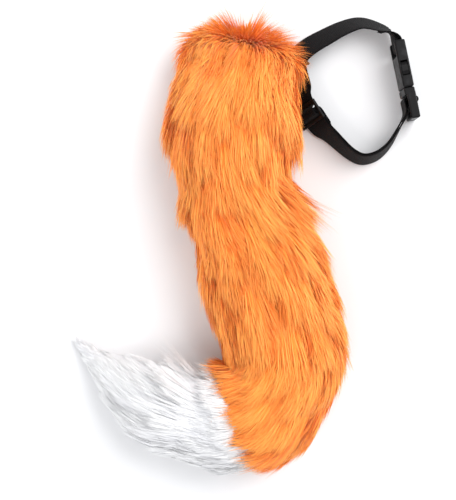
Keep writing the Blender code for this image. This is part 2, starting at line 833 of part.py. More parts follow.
def keeper_blocks(line, grow):
    """The keeper's outer block and its sewn tab, grown by a clearance."""
    inner_o = 0.5 * WEBBING_THICKNESS + LAYER_GAP
    inner_w = 0.5 * WEBBING_WIDTH + LAYER_GAP
    run = (
        line.keeper_s - 0.5 * KEEPER_LENGTH - grow,
        line.keeper_s + 0.5 * KEEPER_LENGTH + grow,
    )
    wall_o = inner_o + KEEPER_WALL + grow
    wall_w = inner_w + KEEPER_WALL + grow
    block = line_box(line, run, (-wall_o, wall_o), (-wall_w, wall_w), "belt_keeper")
    tab_low = KEEPER_TAB_LOW * WEBBING_WIDTH - grow
    tab_run = (inner_o + 0.5 * KEEPER_WALL, KEEPER_TAB + grow)
    tab_ends = (run[0] + 0.5 * KEEPER_WALL, run[1] - 0.5 * KEEPER_WALL)
    tab = line_box(line, tab_ends, tab_run, (tab_low, tab_low + KEEPER_WALL + 2 * grow), "tab")
    combine(block, tab, "UNION")
    return block


def make_keeper(line):
    """A webbing loop round the belt, with the tab that the tail's side seam holds."""
    keeper = keeper_blocks(line, 0.0)
    inner_o = 0.5 * WEBBING_THICKNESS + LAYER_GAP
    inner_w = 0.5 * WEBBING_WIDTH + LAYER_GAP
    past = 0.7 * KEEPER_LENGTH
    run = (line.keeper_s - past, line.keeper_s + past)
    hollow = line_box(line, run, (-inner_o, inner_o), (-inner_w, inner_w), "hollow", steps=7)
    combine(keeper, hollow, "DIFFERENCE")
    keeper.data.materials.append(finish_material("webbing_black"))
    return keeper


def make_webbing(line):
    """The belt's one length of webbing."""
    return sweep_webbing(line, webbing_route(line), "belt_webbing", "webbing_black")


def block(place, low, high, name, edge=0.0, finish=None):
    """A box between two corners in a part's own axes, its edges eased, set by the place function."""
    sheet = bmesh.new()
    bmesh.ops.create_cube(sheet, size=1.0)
    size = [b - a for a, b in zip(low, high)]
    bmesh.ops.scale(sheet, vec=size, verts=sheet.verts)
    bmesh.ops.translate(sheet, vec=[(a + b) / 2 for a, b in zip(low, high)], verts=sheet.verts)
    if edge > 0:
        bmesh.ops.bevel(
            sheet, geom=list(sheet.edges), offset=edge, segments=2, profile=0.5, affect="EDGES",
        )
    for vert in sheet.verts:
        vert.co = place(*vert.co)
    return object_of(sheet, name, finish)


def prism(place, outline, n_range, name):
    """An outline in x and z, given a thickness along n."""
    low = [place(x, n_range[0], z) for x, z in outline]
    high = [place(x, n_range[1], z) for x, z in outline]
    count = len(outline)
    faces = [tuple(range(count)), tuple(count + k for k in reversed(range(count)))]
    for k in range(count):
        side = (k + 1) % count
        faces.append((k, k + count, side + count, side))
    return make_object(name, low + high, faces)


def own_axes(x, n, z):
    """A place in a buckle half's own axes, in which it is cut before it is set in the layout."""
    return Vector((x, n, z))


def set_in(frame, piece):
    """Set a finished buckle half where the buckle stands."""
    for vert in piece.data.vertices:
        vert.co = frame.point(*vert.co)
    return piece


def strap_slot():
    """Low and high edge of the opening for the strap, over the buckle's width."""
    low = 0.5 * (BUCKLE_WIDTH - WEBBING_WIDTH) - STRAP_SLOT_SPARE
    return low, BUCKLE_WIDTH - low


def make_socket(frame):
    """The female half: a flat sleeve with side windows, and a strap bar at its end."""
    half = 0.5 * BUCKLE_THICKNESS
    low, high = strap_slot()
    bar_end = BAR_INSET + SOCKET_BAR_WIDTH
    slot_end = bar_end + SOCKET_SLOT
    socket = block(
        own_axes, (0, -half, 0), (SOCKET_LENGTH, half, BUCKLE_WIDTH),
        "buckle_socket", edge=SOCKET_EDGE, finish="buckle_plastic",
    )
    opening = block(
        own_axes, (-CUTTER_SPARE, -2 * half, low), (slot_end, 2 * half, high), "opening",
    )
    combine(socket, opening, "DIFFERENCE")
    bar_half = 0.5 * STRAP_BAR_THICKNESS
    bar = block(
        own_axes, (BAR_INSET, -bar_half, low - BAR_ROOT), (bar_end, bar_half, high + BAR_ROOT),
        "bar", edge=BAR_EDGE,
    )
    combine(socket, bar, "UNION")
    inside = half - BUCKLE_WALL
    cavity = block(
        own_axes, (slot_end + CAVITY_START, -inside, CAVITY_SIDE),
        (SOCKET_LENGTH + CUTTER_SPARE, inside, BUCKLE_WIDTH - CAVITY_SIDE), "cavity",
    )
    combine(socket, cavity, "DIFFERENCE")
    window_end = SOCKET_LENGTH - WINDOW_FROM_COLLAR
    window = block(
        own_axes, (window_end - WINDOW_LENGTH, -inside, -CUTTER_SPARE),
        (window_end, inside, BUCKLE_WIDTH + CUTTER_SPARE), "window",
    )
    combine(socket, window, "DIFFERENCE")
    return set_in(frame, socket)


def arm_outline(mirror):
    """One sprung arm in x and z, from its root in the collar to its release pad in the window."""
    root = SOCKET_LENGTH + 0.5 * PLUG_COLLAR
    pad_end = SOCKET_LENGTH - WINDOW_FROM_COLLAR - PAD_CLEARANCE
    pad_length = WINDOW_LENGTH - 2 * PAD_CLEARANCE
    inner = ARM_HEIGHT * BUCKLE_WIDTH
    outline = [(root, inner)]
    for corner in ARM_PAD:
        x = pad_end - pad_length * (1.0 - corner.along)
        outline.append((x, corner.inward * BUCKLE_WIDTH))
    outline.append((root, inner - ARM_THICKNESS))
    if mirror:
        return [(x, BUCKLE_WIDTH - z) for x, z in outline]
    return outline


def plug_bar(low, high):
    """The round strap bar that stands out of the plug's frame."""
    middle = BUCKLE_LENGTH - PLUG_BAR_BACK
    reach = 0.5 * STRAP_BAR_THICKNESS
    ring = []
    for k in range(8):
        angle = math.radians(22.5 + 45 * k)
        ring.append((middle + reach * math.cos(angle), PLUG_BAR_RISE + reach * math.sin(angle)))
    ends = (low - PLUG_EDGE, high + PLUG_EDGE)
    return skin_over([[own_axes(x, n, z) for x, n in ring] for z in ends], "bar", None)


def make_plug(frame):
    """The male half: collar, two sprung arms, a guide tongue, a strap bar and an end bar."""
    half = 0.5 * BUCKLE_THICKNESS
    start = SOCKET_LENGTH + TOUCH_GAP
    collar_end = start + PLUG_COLLAR
    low, high = strap_slot()
    plug = block(
        own_axes, (start + 0.5 * PLUG_COLLAR, -0.62 * half, 0), (BUCKLE_LENGTH, half, BUCKLE_WIDTH),
        "buckle_plug", edge=PLUG_EDGE, finish="buckle_plastic",
    )
    opening = block(
        own_axes, (collar_end + COLLAR_STEP, -2 * half, low),
        (BUCKLE_LENGTH - PLUG_END_BAR, 2 * half, high), "opening",
    )
    combine(plug, opening, "DIFFERENCE")
    collar = block(
        own_axes, (start, -half, COLLAR_STEP),
        (collar_end, half - COLLAR_STEP, BUCKLE_WIDTH - COLLAR_STEP), "collar", edge=CUTTER_SPARE,
    )
    combine(plug, collar, "UNION")
    combine(plug, plug_bar(low, high), "UNION")
    arm_half = half - BUCKLE_WALL - ARM_CLEARANCE
    for mirror in (False, True):
        arm = prism(own_axes, arm_outline(mirror), (-arm_half, arm_half), "arm")
        combine(plug, arm, "UNION")
    middle = 0.5 * BUCKLE_WIDTH
    tongue = block(
        own_axes,
        (SOCKET_LENGTH - TONGUE_LENGTH, -0.5 * arm_half, middle - 0.5 * TONGUE_WIDTH),
        (start + 2 * CUTTER_SPARE, 0.5 * arm_half, middle + 0.5 * TONGUE_WIDTH),
        "tongue", edge=0.5 * PLUG_EDGE,
    )
    combine(plug, tongue, "UNION")
    return set_in(frame, plug)


def make_slider(line):
    """The three bar slider, flat on the webbing where its adjusting run begins."""
    middle, run, outward, across = line.slider_frame

    def place(s, o, w):
        return middle + run * s + outward * o + across * w

    reach = slider_reach()
    half_width = 0.5 * SLIDER_WIDTH
    half = 0.5 * SLIDER_THICKNESS
    slider = block(
        place, (-reach, -half, -half_width), (reach, half, half_width),
        "strap_slider", edge=SLIDER_EDGE, finish="buckle_plastic",
    )
    slot_half = 0.5 * WEBBING_WIDTH + 0.5 * STRAP_SLOT_SPARE
    for side in (-1, 1):
        near = side * 0.5 * SLIDER_MID_BAR
        far = side * (0.5 * SLIDER_MID_BAR + SLIDER_SLOT)
        slot = block(
            place, (min(near, far), -3 * half, -slot_half), (max(near, far), 3 * half, slot_half),
            "slot",
        )
        combine(slider, slot, "DIFFERENCE")
    return slider


def stand_on_origin(pieces):
    """Hang the pieces on one empty, which puts the middle of their footprint at the origin."""
    corners = np.array([v.co[:] for piece in pieces for v in piece.data.vertices])
    low = corners.min(axis=0)
    high = corners.max(axis=0)
    holder = bpy.data.objects.new("costume_tail", None)
    bpy.context.collection.objects.link(holder)
    holder.location = (-0.5 * (low[0] + high[0]), -0.5 * (low[1] + high[1]), -low[2])
    for piece in pieces:
        piece.parent = holder


def main():
    """Build every piece."""
    clear_scene()
    frame = BuckleFrame()
    line = BeltLine(frame)
    body = make_tail_body()
    combine(body, keeper_blocks(line, TOUCH_GAP), "DIFFERENCE")
    pieces = [
        body,
        make_tail_tip(),
        make_keeper(line),
        make_webbing(line),
        make_socket(frame),
        make_plug(frame),
        make_slider(line),
    ]
    stand_on_origin(pieces)


main()
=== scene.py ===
"""The looks of a plush costume tail with a white tip and a webbing belt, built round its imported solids.

The tail is a stuffed skin under a coat of fur strands, which Geometry Nodes grow on it in locks.
The belt is one ribbon of woven webbing, and the buckle and slider are moulded plastic.
"""

import json
import logging
import math
from dataclasses import dataclass
from enum import Enum
from typing import Any, ClassVar, Sequence

import bmesh
import bpy
import numpy as np
from mathutils import Matrix, Vector, noise

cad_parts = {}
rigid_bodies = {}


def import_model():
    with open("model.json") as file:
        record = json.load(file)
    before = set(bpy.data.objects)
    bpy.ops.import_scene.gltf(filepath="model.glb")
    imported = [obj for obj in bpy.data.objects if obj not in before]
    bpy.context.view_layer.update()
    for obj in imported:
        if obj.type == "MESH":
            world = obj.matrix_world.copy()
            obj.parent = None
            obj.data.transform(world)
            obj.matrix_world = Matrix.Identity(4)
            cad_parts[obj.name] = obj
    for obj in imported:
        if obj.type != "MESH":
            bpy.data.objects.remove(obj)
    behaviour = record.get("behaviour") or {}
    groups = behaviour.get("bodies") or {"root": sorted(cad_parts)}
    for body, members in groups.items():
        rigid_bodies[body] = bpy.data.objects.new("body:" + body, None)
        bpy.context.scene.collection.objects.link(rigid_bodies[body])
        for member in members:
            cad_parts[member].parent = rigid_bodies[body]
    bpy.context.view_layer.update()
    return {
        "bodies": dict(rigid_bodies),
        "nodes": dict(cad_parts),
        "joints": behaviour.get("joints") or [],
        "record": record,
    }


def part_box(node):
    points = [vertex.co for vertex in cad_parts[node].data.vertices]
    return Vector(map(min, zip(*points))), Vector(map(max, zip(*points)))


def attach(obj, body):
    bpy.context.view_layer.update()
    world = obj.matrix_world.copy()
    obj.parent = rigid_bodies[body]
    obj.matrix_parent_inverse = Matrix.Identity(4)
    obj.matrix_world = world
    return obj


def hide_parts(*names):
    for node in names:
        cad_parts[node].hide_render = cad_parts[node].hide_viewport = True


LOG = logging.getLogger("costume_tail")
MM = 0.001
SEED = 7
BODY = "root"
Colour = tuple[float, float, float]


class Slot(Enum):
    """The record's material slots."""

    PLUSH_ORANGE = "plush_orange"
    PLUSH_WHITE = "plush_white"
    WEBBING = "webbing_black"
    PLASTIC = "buckle_plastic"


def smooth(share: np.ndarray | float) -> np.ndarray | float:
    """A share from 0 to 1, eased at both ends."""
    held = np.clip(share, 0.0, 1.0)
    return held * held * (3.0 - 2.0 * held)


def catmull(rows: Sequence[Sequence[float]], per_span: int) -> np.ndarray:
    """A smooth curve through rows.

    Args:
        rows: The points to pass through.
        per_span: Steps between two neighbouring points.

    Returns:
        The curve's points, the last row included.
    """
    points = np.asarray(rows, float)
    padded = np.vstack((2 * points[0] - points[1], points, 2 * points[-1] - points[-2]))
    share = np.arange(per_span)[:, None] / per_span
    spans = []
    for before, start, end, after in zip(padded, padded[1:], padded[2:], padded[3:]):
        spans.append(0.5 * (
            2 * start
            + (end - before) * share
            + (2 * before - 5 * start + 4 * end - after) * share ** 2
            + (3 * start - before - 3 * end + after) * share ** 3
        ))
    return np.vstack((*spans, points[-1:]))


def unit(vectors: np.ndarray) -> np.ndarray:
    """Rows of vectors at length 1."""
    return vectors / np.maximum(np.linalg.norm(vectors, axis=-1, keepdims=True), 1e-12)


class NodeSheet:
    """Short ways to add nodes to a node tree."""

    def __init__(self, tree: bpy.types.NodeTree) -> None:
        """Work on a tree that exists."""
        self.tree = tree

    def node(self, kind: str, **settings: Any) -> bpy.types.Node:
        """Add a node with these settings."""
        made = self.tree.nodes.new(kind)
        for name, value in settings.items():
            setattr(made, name, value)
        return made

    def feed(self, socket: bpy.types.NodeSocket, value: Any) -> None:
        """Link a socket's value in, or set it."""
        if isinstance(value, bpy.types.NodeSocket):
            self.tree.links.new(value, socket)
        else:
            socket.default_value = value

    def socket(self, sockets: Any, name: str) -> bpy.types.NodeSocket:
        """The socket in use that has this name."""
        return next(s for s in sockets if s.name == name and s.enabled)

    def put(self, node: bpy.types.Node, **values: Any) -> bpy.types.Node:
        """Feed inputs by name, with _ for each space."""
        for name, value in values.items():
            self.feed(self.socket(node.inputs, name.replace("_", " ")), value)
        return node

    def math(self, operation: str, *values: Any, clamp: bool = False) -> bpy.types.NodeSocket:
        """The result of a Math node."""
        made = self.node("ShaderNodeMath", operation=operation, use_clamp=clamp)
        for socket, value in zip(made.inputs, values):
            self.feed(socket, value)
        return made.outputs[0]

    def vector(self, operation: str, *values: Any) -> bpy.types.NodeSocket:
        """The vector result of a Vector Math node."""
        made = self.node("ShaderNodeVectorMath", operation=operation)
        for socket, value in zip(made.inputs, values):
            self.feed(socket, value)
        return made.outputs[0]

    def scaled(self, vector: Any, factor: Any) -> bpy.types.NodeSocket:
        """A vector times a number."""
        made = self.node("ShaderNodeVectorMath", operation="SCALE")
        self.feed(made.inputs[0], vector)
        self.feed(made.inputs["Scale"], factor)
        return made.outputs[0]

    def total(self, first: Any, *others: Any) -> bpy.types.NodeSocket:
        """The sum of vectors."""
        result = first
        for other in others:
            result = self.vector("ADD", result, other)
        return result

    def parts(self, vector: Any) -> Sequence[bpy.types.NodeSocket]:
        """The x, y and z of a vector."""
        made = self.node("ShaderNodeSeparateXYZ")
        self.feed(made.inputs[0], vector)
        return made.outputs

    def joined(self, x: Any, y: Any, z: Any) -> bpy.types.NodeSocket:
        """A vector of x, y and z."""
        made = self.node("ShaderNodeCombineXYZ")
        for socket, value in zip(made.inputs, (x, y, z)):
            self.feed(socket, value)
        return made.outputs[0]

    def mapped(self, value: Any, low: float, high: float, to_low: float, to_high: float) -> Any:
        """A number carried from one range to another and held there."""
        made = self.node("ShaderNodeMapRange", interpolation_type="SMOOTHSTEP")
        for socket, part in zip(made.inputs, (value, low, high, to_low, to_high)):
            self.feed(socket, part)
        return made.outputs[0]

    def blend(self, share: Any, first: Any, second: Any, way: str = "MIX") -> Any:
        """A mix of two colours."""
        made = self.node("ShaderNodeMix", data_type="RGBA", blend_type=way)
        self.feed(made.inputs[0], share)
        for socket, value in zip(made.inputs[6:8], (first, second)):
            self.feed(socket, value)
        return made.outputs[2]


class ShaderSheet(NodeSheet):
    """A material's nodes round one Principled shader."""

    def __init__(self, name: str) -> None:
        """Start a material."""
        self.material = bpy.data.materials.new(name)
        self.material.use_nodes = True
        super().__init__(self.material.node_tree)
        self.shader = self.tree.nodes["Principled BSDF"]

    def own(self, name: str, output: str = "Fac") -> bpy.types.NodeSocket:
        """An attribute of the piece."""
        return self.node("ShaderNodeAttribute", attribute_name=name).outputs[output]

    def place(self) -> bpy.types.NodeSocket:
        """Object coordinates."""
        return self.node("ShaderNodeTexCoord").outputs["Object"]

    def noise(self, where: Any, scale: float, detail: float = 3.0) -> bpy.types.NodeSocket:
        """A noise from 0 to 1."""
        made = self.node("ShaderNodeTexNoise")
        self.put(made, Vector=where, Scale=scale, Detail=detail)
        return made.outputs["Fac"]

    def bump(self, height: Any, depth: float, strength: float = 1.0) -> None:
        """Raise the surface by a height of 0 to 1."""
        made = self.node("ShaderNodeBump")
        self.put(made, Height=height, Distance=depth, Strength=strength)
        self.feed(self.shader.inputs["Normal"], made.outputs[0])


@dataclass(frozen=True)
class FurFinish:
    """Fur strands, coloured from root to tip, with painted shade in the valleys between locks and darker
    random patches.
    """

    name: str
    root: Colour
    middle: Colour
    tip: Colour
    # Colour painted into the valleys between locks as painted shade, and into random darker patches.
    painted_shade_and_patches: Colour
    # How strongly the painted shade between locks is laid on.
    valley: float
    spread: float
    roughness: float = 0.5
    patches: float = 0.20
    sheen: float = 0.25

    def build(self) -> bpy.types.Material:
        """The material, which reads the strands' own attributes."""
        sheet = ShaderSheet(self.name)
        ramp = sheet.node("ShaderNodeValToRGB")
        stops = ramp.color_ramp.elements
        stops[0].color = (*self.root, 1.0)
        stops[1].color = (*self.tip, 1.0)
        middle = stops.new(0.45)
        middle.color = (*self.middle, 1.0)
        sheet.feed(ramp.inputs[0], sheet.own("t"))
        patches = sheet.noise(sheet.place(), 26.0)
        # Painted shade: strands far from their lock's middle are mixed towards the shade colour, and
        # random patches add darker tone.
        painted_shade_and_patches = sheet.math("MULTIPLY", sheet.own("valley"), self.valley)
        painted_shade_and_patches = sheet.math("ADD", painted_shade_and_patches, sheet.mapped(patches, 0.45, 0.75, 0.0, self.patches), clamp=True)
        colour = sheet.blend(painted_shade_and_patches, ramp.outputs[0], (*self.painted_shade_and_patches, 1.0))
        drift = sheet.math("ADD", sheet.own("tone"), sheet.own("lock"))
        value = sheet.mapped(drift, 0.2, 1.8, 1.0 - self.spread, 1.0 + self.spread)
        tinted = sheet.node("ShaderNodeHueSaturation")
        sheet.put(tinted, Value=value, Color=colour)
        sheet.feed(sheet.shader.inputs["Base Color"], tinted.outputs[0])
        sheet.put(sheet.shader, Roughness=self.roughness, Sheen_Weight=self.sheen)
        sheet.put(sheet.shader, Sheen_Roughness=0.4, Specular_IOR_Level=0.35)
        return sheet.material


@dataclass(frozen=True)
class UndercoatFinish:
    """The short dense pile under the strands."""

    name: str
    light: Colour
    dark: Colour
    grain: float = 900.0

    def build(self) -> bpy.types.Material:
        """The material."""
        sheet = ShaderSheet(self.name)
        where = sheet.place()
        fibre = sheet.noise(where, self.grain, 2.0)
        patches = sheet.noise(where, 40.0)
        share = sheet.mapped(sheet.math("ADD", fibre, patches), 0.6, 1.4, 0.0, 1.0)
        colour = sheet.blend(share, (*self.dark, 1.0), (*self.light, 1.0))
        sheet.feed(sheet.shader.inputs["Base Color"], colour)
        sheet.put(sheet.shader, Roughness=0.9, Sheen_Weight=0.4)
        sheet.bump(fibre, 0.8 * MM)
        return sheet.material


@dataclass(frozen=True)
class WebbingFinish:
    """Woven webbing: cords across, laid in columns along the strap, with a firm selvedge; painted lighter
    on the rib crests and darker in the hollows, as painted highlight and painted shade.
    """

    name: str
    # thread is the colour painted in the hollows between ribs, crown the lighter one painted on their
    # crests: painted shade and painted highlight.
    thread: Colour
    crown: Colour
    rib: float = 1.5 * MM
    column: float = 2.1 * MM
    on_strap: bool = True

    def build(self) -> bpy.types.Material:
        """The material, on the strap's own map or on Object coordinates."""
        sheet = ShaderSheet(self.name)
        if self.on_strap:
            where = sheet.node("ShaderNodeUVMap", uv_map="strap").outputs[0]
        else:
            where = sheet.place()
        along, across, _ = sheet.parts(where)
        column = sheet.math("DIVIDE", across, self.column)
        shift = sheet.math("MULTIPLY", sheet.math("PINGPONG", column, 1.0), 0.5)
        rib = sheet.math("ADD", sheet.math("DIVIDE", along, self.rib), shift)
        crest = sheet.math("ABSOLUTE", sheet.math("SINE", sheet.math("MULTIPLY", rib, math.pi)))
        cord = sheet.math("ABSOLUTE", sheet.math("SINE", sheet.math("MULTIPLY", column, math.pi)))
        height = sheet.math("MULTIPLY", crest, sheet.math("POWER", cord, 0.4))
        fuzz = sheet.noise(sheet.place(), 2600.0, 2.0)
        # A slow noise that varies how strongly the rib crests are painted lighter.
        crest_light_drift = sheet.noise(sheet.place(), 60.0, 4.0)
        # Painted light: the colour is lighter on the rib crests and darker in the hollows, by an amount
        # that drifts over the strap.
        share = sheet.math("MULTIPLY", height, sheet.mapped(crest_light_drift, 0.3, 0.7, 0.55, 1.0))
        colour = sheet.blend(share, (*self.thread, 1.0), (*self.crown, 1.0))
        sheet.feed(sheet.shader.inputs["Base Color"], colour)
        sheet.feed(sheet.shader.inputs["Roughness"], sheet.mapped(fuzz, 0.3, 0.7, 0.68, 0.88))
        sheet.put(sheet.shader, Sheen_Weight=0.06, Sheen_Roughness=0.4, Specular_IOR_Level=0.10)
        relief = sheet.math("ADD", height, sheet.math("MULTIPLY", fuzz, 0.25))
        sheet.bump(relief, 0.28 * MM)
        return sheet.material


@dataclass(frozen=True)
class PlasticFinish:
    """Moulded black plastic with a fine grain, rubbed paler in places."""

    name: str
    colour: Colour
    rubbed: Colour
    roughness: float
    gloss: float = 0.15

    def build(self) -> bpy.types.Material:
        """The material."""
        sheet = ShaderSheet(self.name)
        where = sheet.place()
        grain = sheet.noise(where, 2400.0, 2.0)
        wear = sheet.noise(where, 130.0, 5.0)
        share = sheet.mapped(wear, 0.52, 0.74, 0.0, 1.0)
        colour = sheet.blend(share, (*self.colour, 1.0), (*self.rubbed, 1.0))
        sheet.feed(sheet.shader.inputs["Base Color"], colour)
        low, high = self.roughness - 0.05, self.roughness + 0.10
        sheet.feed(sheet.shader.inputs["Roughness"], sheet.mapped(wear, 0.3, 0.7, low, high))
        sheet.put(sheet.shader, Specular_IOR_Level=self.gloss)
        sheet.bump(grain, 0.03 * MM)
        return sheet.material


@dataclass(frozen=True)
class PlainFinish:
    """A floor or a thread: one colour with a little drift."""

    name: str
    colour: Colour
    roughness: float
    drift: float = 0.02

    def build(self) -> bpy.types.Material:
        """The material."""
        sheet = ShaderSheet(self.name)
        cloud = sheet.mapped(sheet.noise(sheet.place(), 3.0), 0.3, 0.7, 0.0, 1.0)
        pale = tuple(part * (1.0 - self.drift) for part in self.colour)
        colour = sheet.blend(cloud, (*pale, 1.0), (*self.colour, 1.0))
        sheet.feed(sheet.shader.inputs["Base Color"], colour)
        sheet.put(sheet.shader, Roughness=self.roughness)
        return sheet.material


# In each fur, the fourth colour is painted shade for the valleys between locks and for random darker
# patches; the fifth number sets how strongly the valleys are shaded.
ORANGE_FUR = FurFinish(
    "orange_fur", (0.98, 0.285, 0.038), (1.0, 0.355, 0.051), (1.0, 0.430, 0.086),
    (0.98, 0.240, 0.034), 0.36, 0.05,
)
WHITE_FUR = FurFinish(
    "white_fur", (0.88, 0.88, 0.90), (0.92, 0.92, 0.93), (0.93, 0.93, 0.93),
    (0.85, 0.85, 0.88), 0.30, 0.02, 0.6,
)
ORANGE_UNDERCOAT = UndercoatFinish("orange_undercoat", (1.0, 0.34, 0.045), (0.88, 0.19, 0.022))
WHITE_UNDERCOAT = UndercoatFinish("white_undercoat", (0.92, 0.92, 0.93), (0.74, 0.74, 0.77))


@dataclass(frozen=True)
class Bend:
    """An arc of the tail's centreline: its share of the length and its turn."""

    share: float
    turn_deg: float


@dataclass(frozen=True)
class Section:
    """Width and height over the fur, as shares of the tail's, at a share of its length."""

    along: float
    width: float
    height: float


@dataclass
class TailForm:
    """The tail's centreline and the sections over it, in the layout's own axes."""

    length: float = 502 * MM
    width: float = 108 * MM
    height: float = 84 * MM
    root_start: float = 12 * MM
    root_inset: float = 2 * MM
    dome: float = 18 * MM
    smallest: float = 0.12
    floor: float = 0.6 * MM
    tip_start: float = 0.690
    heading_deg: float = -102.5
    root: tuple[float, float] = (16.5 * MM, 185.0 * MM)
    belly_share: float = 0.42
    settle: float = 1.25
    body_pile: float = 10 * MM
    tip_pile: float = 5.5 * MM
    bends: tuple[Bend, ...] = (
        Bend(0.165, 7.4),
        Bend(0.150, 24.2),
        Bend(0.205, -3.1),
        Bend(0.237, -120.4),
        Bend(0.243, -33.5),
    )
    sections: tuple[Section, ...] = (
        Section(0.000, 0.84, 0.56),
        Section(0.030, 0.96, 0.72),
        Section(0.100, 0.98, 0.86),
        Section(0.180, 1.00, 0.98),
        Section(0.250, 0.89, 0.98),
        Section(0.330, 0.90, 0.96),
        Section(0.420, 0.96, 1.00),
        Section(0.520, 0.95, 1.00),
        Section(0.600, 0.93, 1.00),
        Section(0.660, 0.98, 1.00),
        Section(0.719, 0.86, 0.92),
        Section(0.760, 0.74, 0.82),
        Section(0.810, 0.70, 0.76),
        Section(0.860, 0.58, 0.64),
        Section(0.910, 0.41, 0.46),
        Section(0.960, 0.21, 0.26),
        Section(1.000, 0.05, 0.08),
    )

    def __post_init__(self) -> None:
        """Lay the centreline out once, in short steps."""
        step = 0.5 * MM
        self.steps = np.arange(0.0, self.length + step, step)
        ends = np.cumsum([bend.share for bend in self.bends]) * self.length
        starts = np.concatenate(((0.0,), ends[:-1]))
        turned = np.full_like(self.steps, math.radians(self.heading_deg))
        for bend, start, end in zip(self.bends, starts, ends):
            share = np.clip((self.steps - start) / (end - start), 0.0, 1.0)
            turned += math.radians(bend.turn_deg) * share
        middle = 0.5 * (turned[1:] + turned[:-1])
        moves = np.stack((np.cos(middle), np.sin(middle)), 1) * step
        self.line = np.vstack((self.root, self.root + np.cumsum(moves, axis=0)))
        self.headings = turned
        rows = [(row.along, row.width, row.height) for row in self.sections]
        self.fine = catmull(rows, 8)

    def end_of_orange(self) -> float:
        """Distance along the tail at which the orange skin ends."""
        return self.tip_start * self.length

    def first(self) -> float:
        """Distance along the tail at which its skin begins."""
        return self.root_start - self.root_inset

    def domed(self, distance: np.ndarray) -> np.ndarray:
        """Size of the core over the domed root, as a share of its full size."""
        rising = np.clip((distance - self.first()) / self.dome, 0.0, 1.0)
        return np.maximum(np.sqrt(1.0 - (1.0 - rising) ** 2), self.smallest)

    def spine(self, distance: np.ndarray) -> tuple[np.ndarray, np.ndarray]:
        """Places and headings on the centreline, carried on straight past both ends."""
        held = np.clip(distance, 0.0, self.length)
        heading = np.interp(held, self.steps, self.headings)
        place = np.stack([np.interp(held, self.steps, self.line[:, k]) for k in (0, 1)], -1)
        past = (distance - held)[..., None]
        return place + past * np.stack((np.cos(heading), np.sin(heading)), -1), heading

    def core(self, distance: np.ndarray, pile: np.ndarray | float) -> tuple[Any, Any]:
        """Half width and height of the stuffed core under fur of this depth."""
        share = distance / self.length
        half = 0.5 * self.width * np.interp(share, self.fine[:, 0], self.fine[:, 1])
        height = self.height * np.interp(share, self.fine[:, 0], self.fine[:, 2])
        depth = np.minimum(pile, 0.45 * half)
        return half - depth, height - depth

    def point(self, distance: Any, angle: Any, pile: Any, swell: Any) -> Any:
        """Points over the core.

        Args:
            distance: How far along the tail.
            angle: Round the section, from its left side over the top.
            pile: Depth of the fur there.
            swell: Size as a share of the core's.

        Returns:
            An array of points.
        """
        place, heading = self.spine(distance)
        half, height = self.core(distance, pile)
        belly = self.belly_share * height
        rise = np.where(np.sin(angle) > 0, height - belly, self.settle * belly)
        across = half * swell * np.cos(angle)
        up = belly + rise * swell * np.sin(angle)
        side = np.stack((-np.sin(heading), np.cos(heading)), -1)
        flat = place + side * across[..., None]
        return np.concatenate((flat, up[..., None]), -1)


@dataclass
class Bench:
    """Makes finished pieces and hands them to the frame, moved from the layout's axes to the row's."""

    shift: Vector

    def mesh(self, name: str, verts: Any, faces: Any) -> bpy.types.Mesh:
        """A mesh from points in the layout's axes."""
        made = bpy.data.meshes.new(name)
        moved = np.asarray(verts, float) + np.array(self.shift)
        made.from_pydata([tuple(point) for point in moved], [], faces)
        made.update()
        return made

    def piece(self, name: str, mesh: bpy.types.Mesh) -> bpy.types.Object:
        """An object of a mesh, linked to the scene."""
        made = bpy.data.objects.new(name, mesh)
        bpy.context.scene.collection.objects.link(made)
        return made

    def outwards(self, mesh: bpy.types.Mesh) -> None:
        """Turn a closed mesh's faces out."""
        sheet = bmesh.new()
        sheet.from_mesh(mesh)
        bmesh.ops.recalc_face_normals(sheet, faces=sheet.faces)
        if sheet.calc_volume(signed=True) < 0:
            bmesh.ops.reverse_faces(sheet, faces=sheet.faces)
        sheet.to_mesh(mesh)
        sheet.free()

    def applied(self, made: bpy.types.Object) -> None:
        """Keep the result of an object's modifiers as its plain mesh."""
        shaped = made.evaluated_get(bpy.context.evaluated_depsgraph_get())
        mesh = bpy.data.meshes.new_from_object(shaped)
        made.modifiers.clear()
        made.data = mesh

    def grown(self, made: bpy.types.Object, tree: bpy.types.NodeTree, values: dict[str, Any]) -> None:
        """Run a node tree on an object and keep the result.

        Args:
            made: The object that the tree reads and replaces.
            tree: The Geometry Nodes tree.
            values: What its inputs are set to, by their names.
        """
        modifier = made.modifiers.new(tree.name, "NODES")
        modifier.node_group = tree
        for item in tree.interface.items_tree:
            if item.in_out == "INPUT" and item.name in values:
                modifier[item.identifier] = values[item.name]
        self.applied(made)

    def hand_over(
        self, made: bpy.types.Object, slot: Slot, nodes: Sequence[str] = (), smooth_faces: bool = True,
    ) -> bpy.types.Object:
        """Let a finished piece ride on the frame.

        Args:
            made: The piece.
            slot: Not used.
            nodes: CAD nodes that it stands for.
            smooth_faces: Whether its faces are shaded smooth.

        Returns:
            The same piece.
        """
        made.data.polygons.foreach_set("use_smooth", [smooth_faces] * len(made.data.polygons))
        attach(made, BODY)
        if nodes:
            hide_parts(*nodes)
        triangles = sum(len(face.vertices) - 2 for face in made.data.polygons)
        LOG.info("%s: %d triangles", made.name, triangles)
        return made


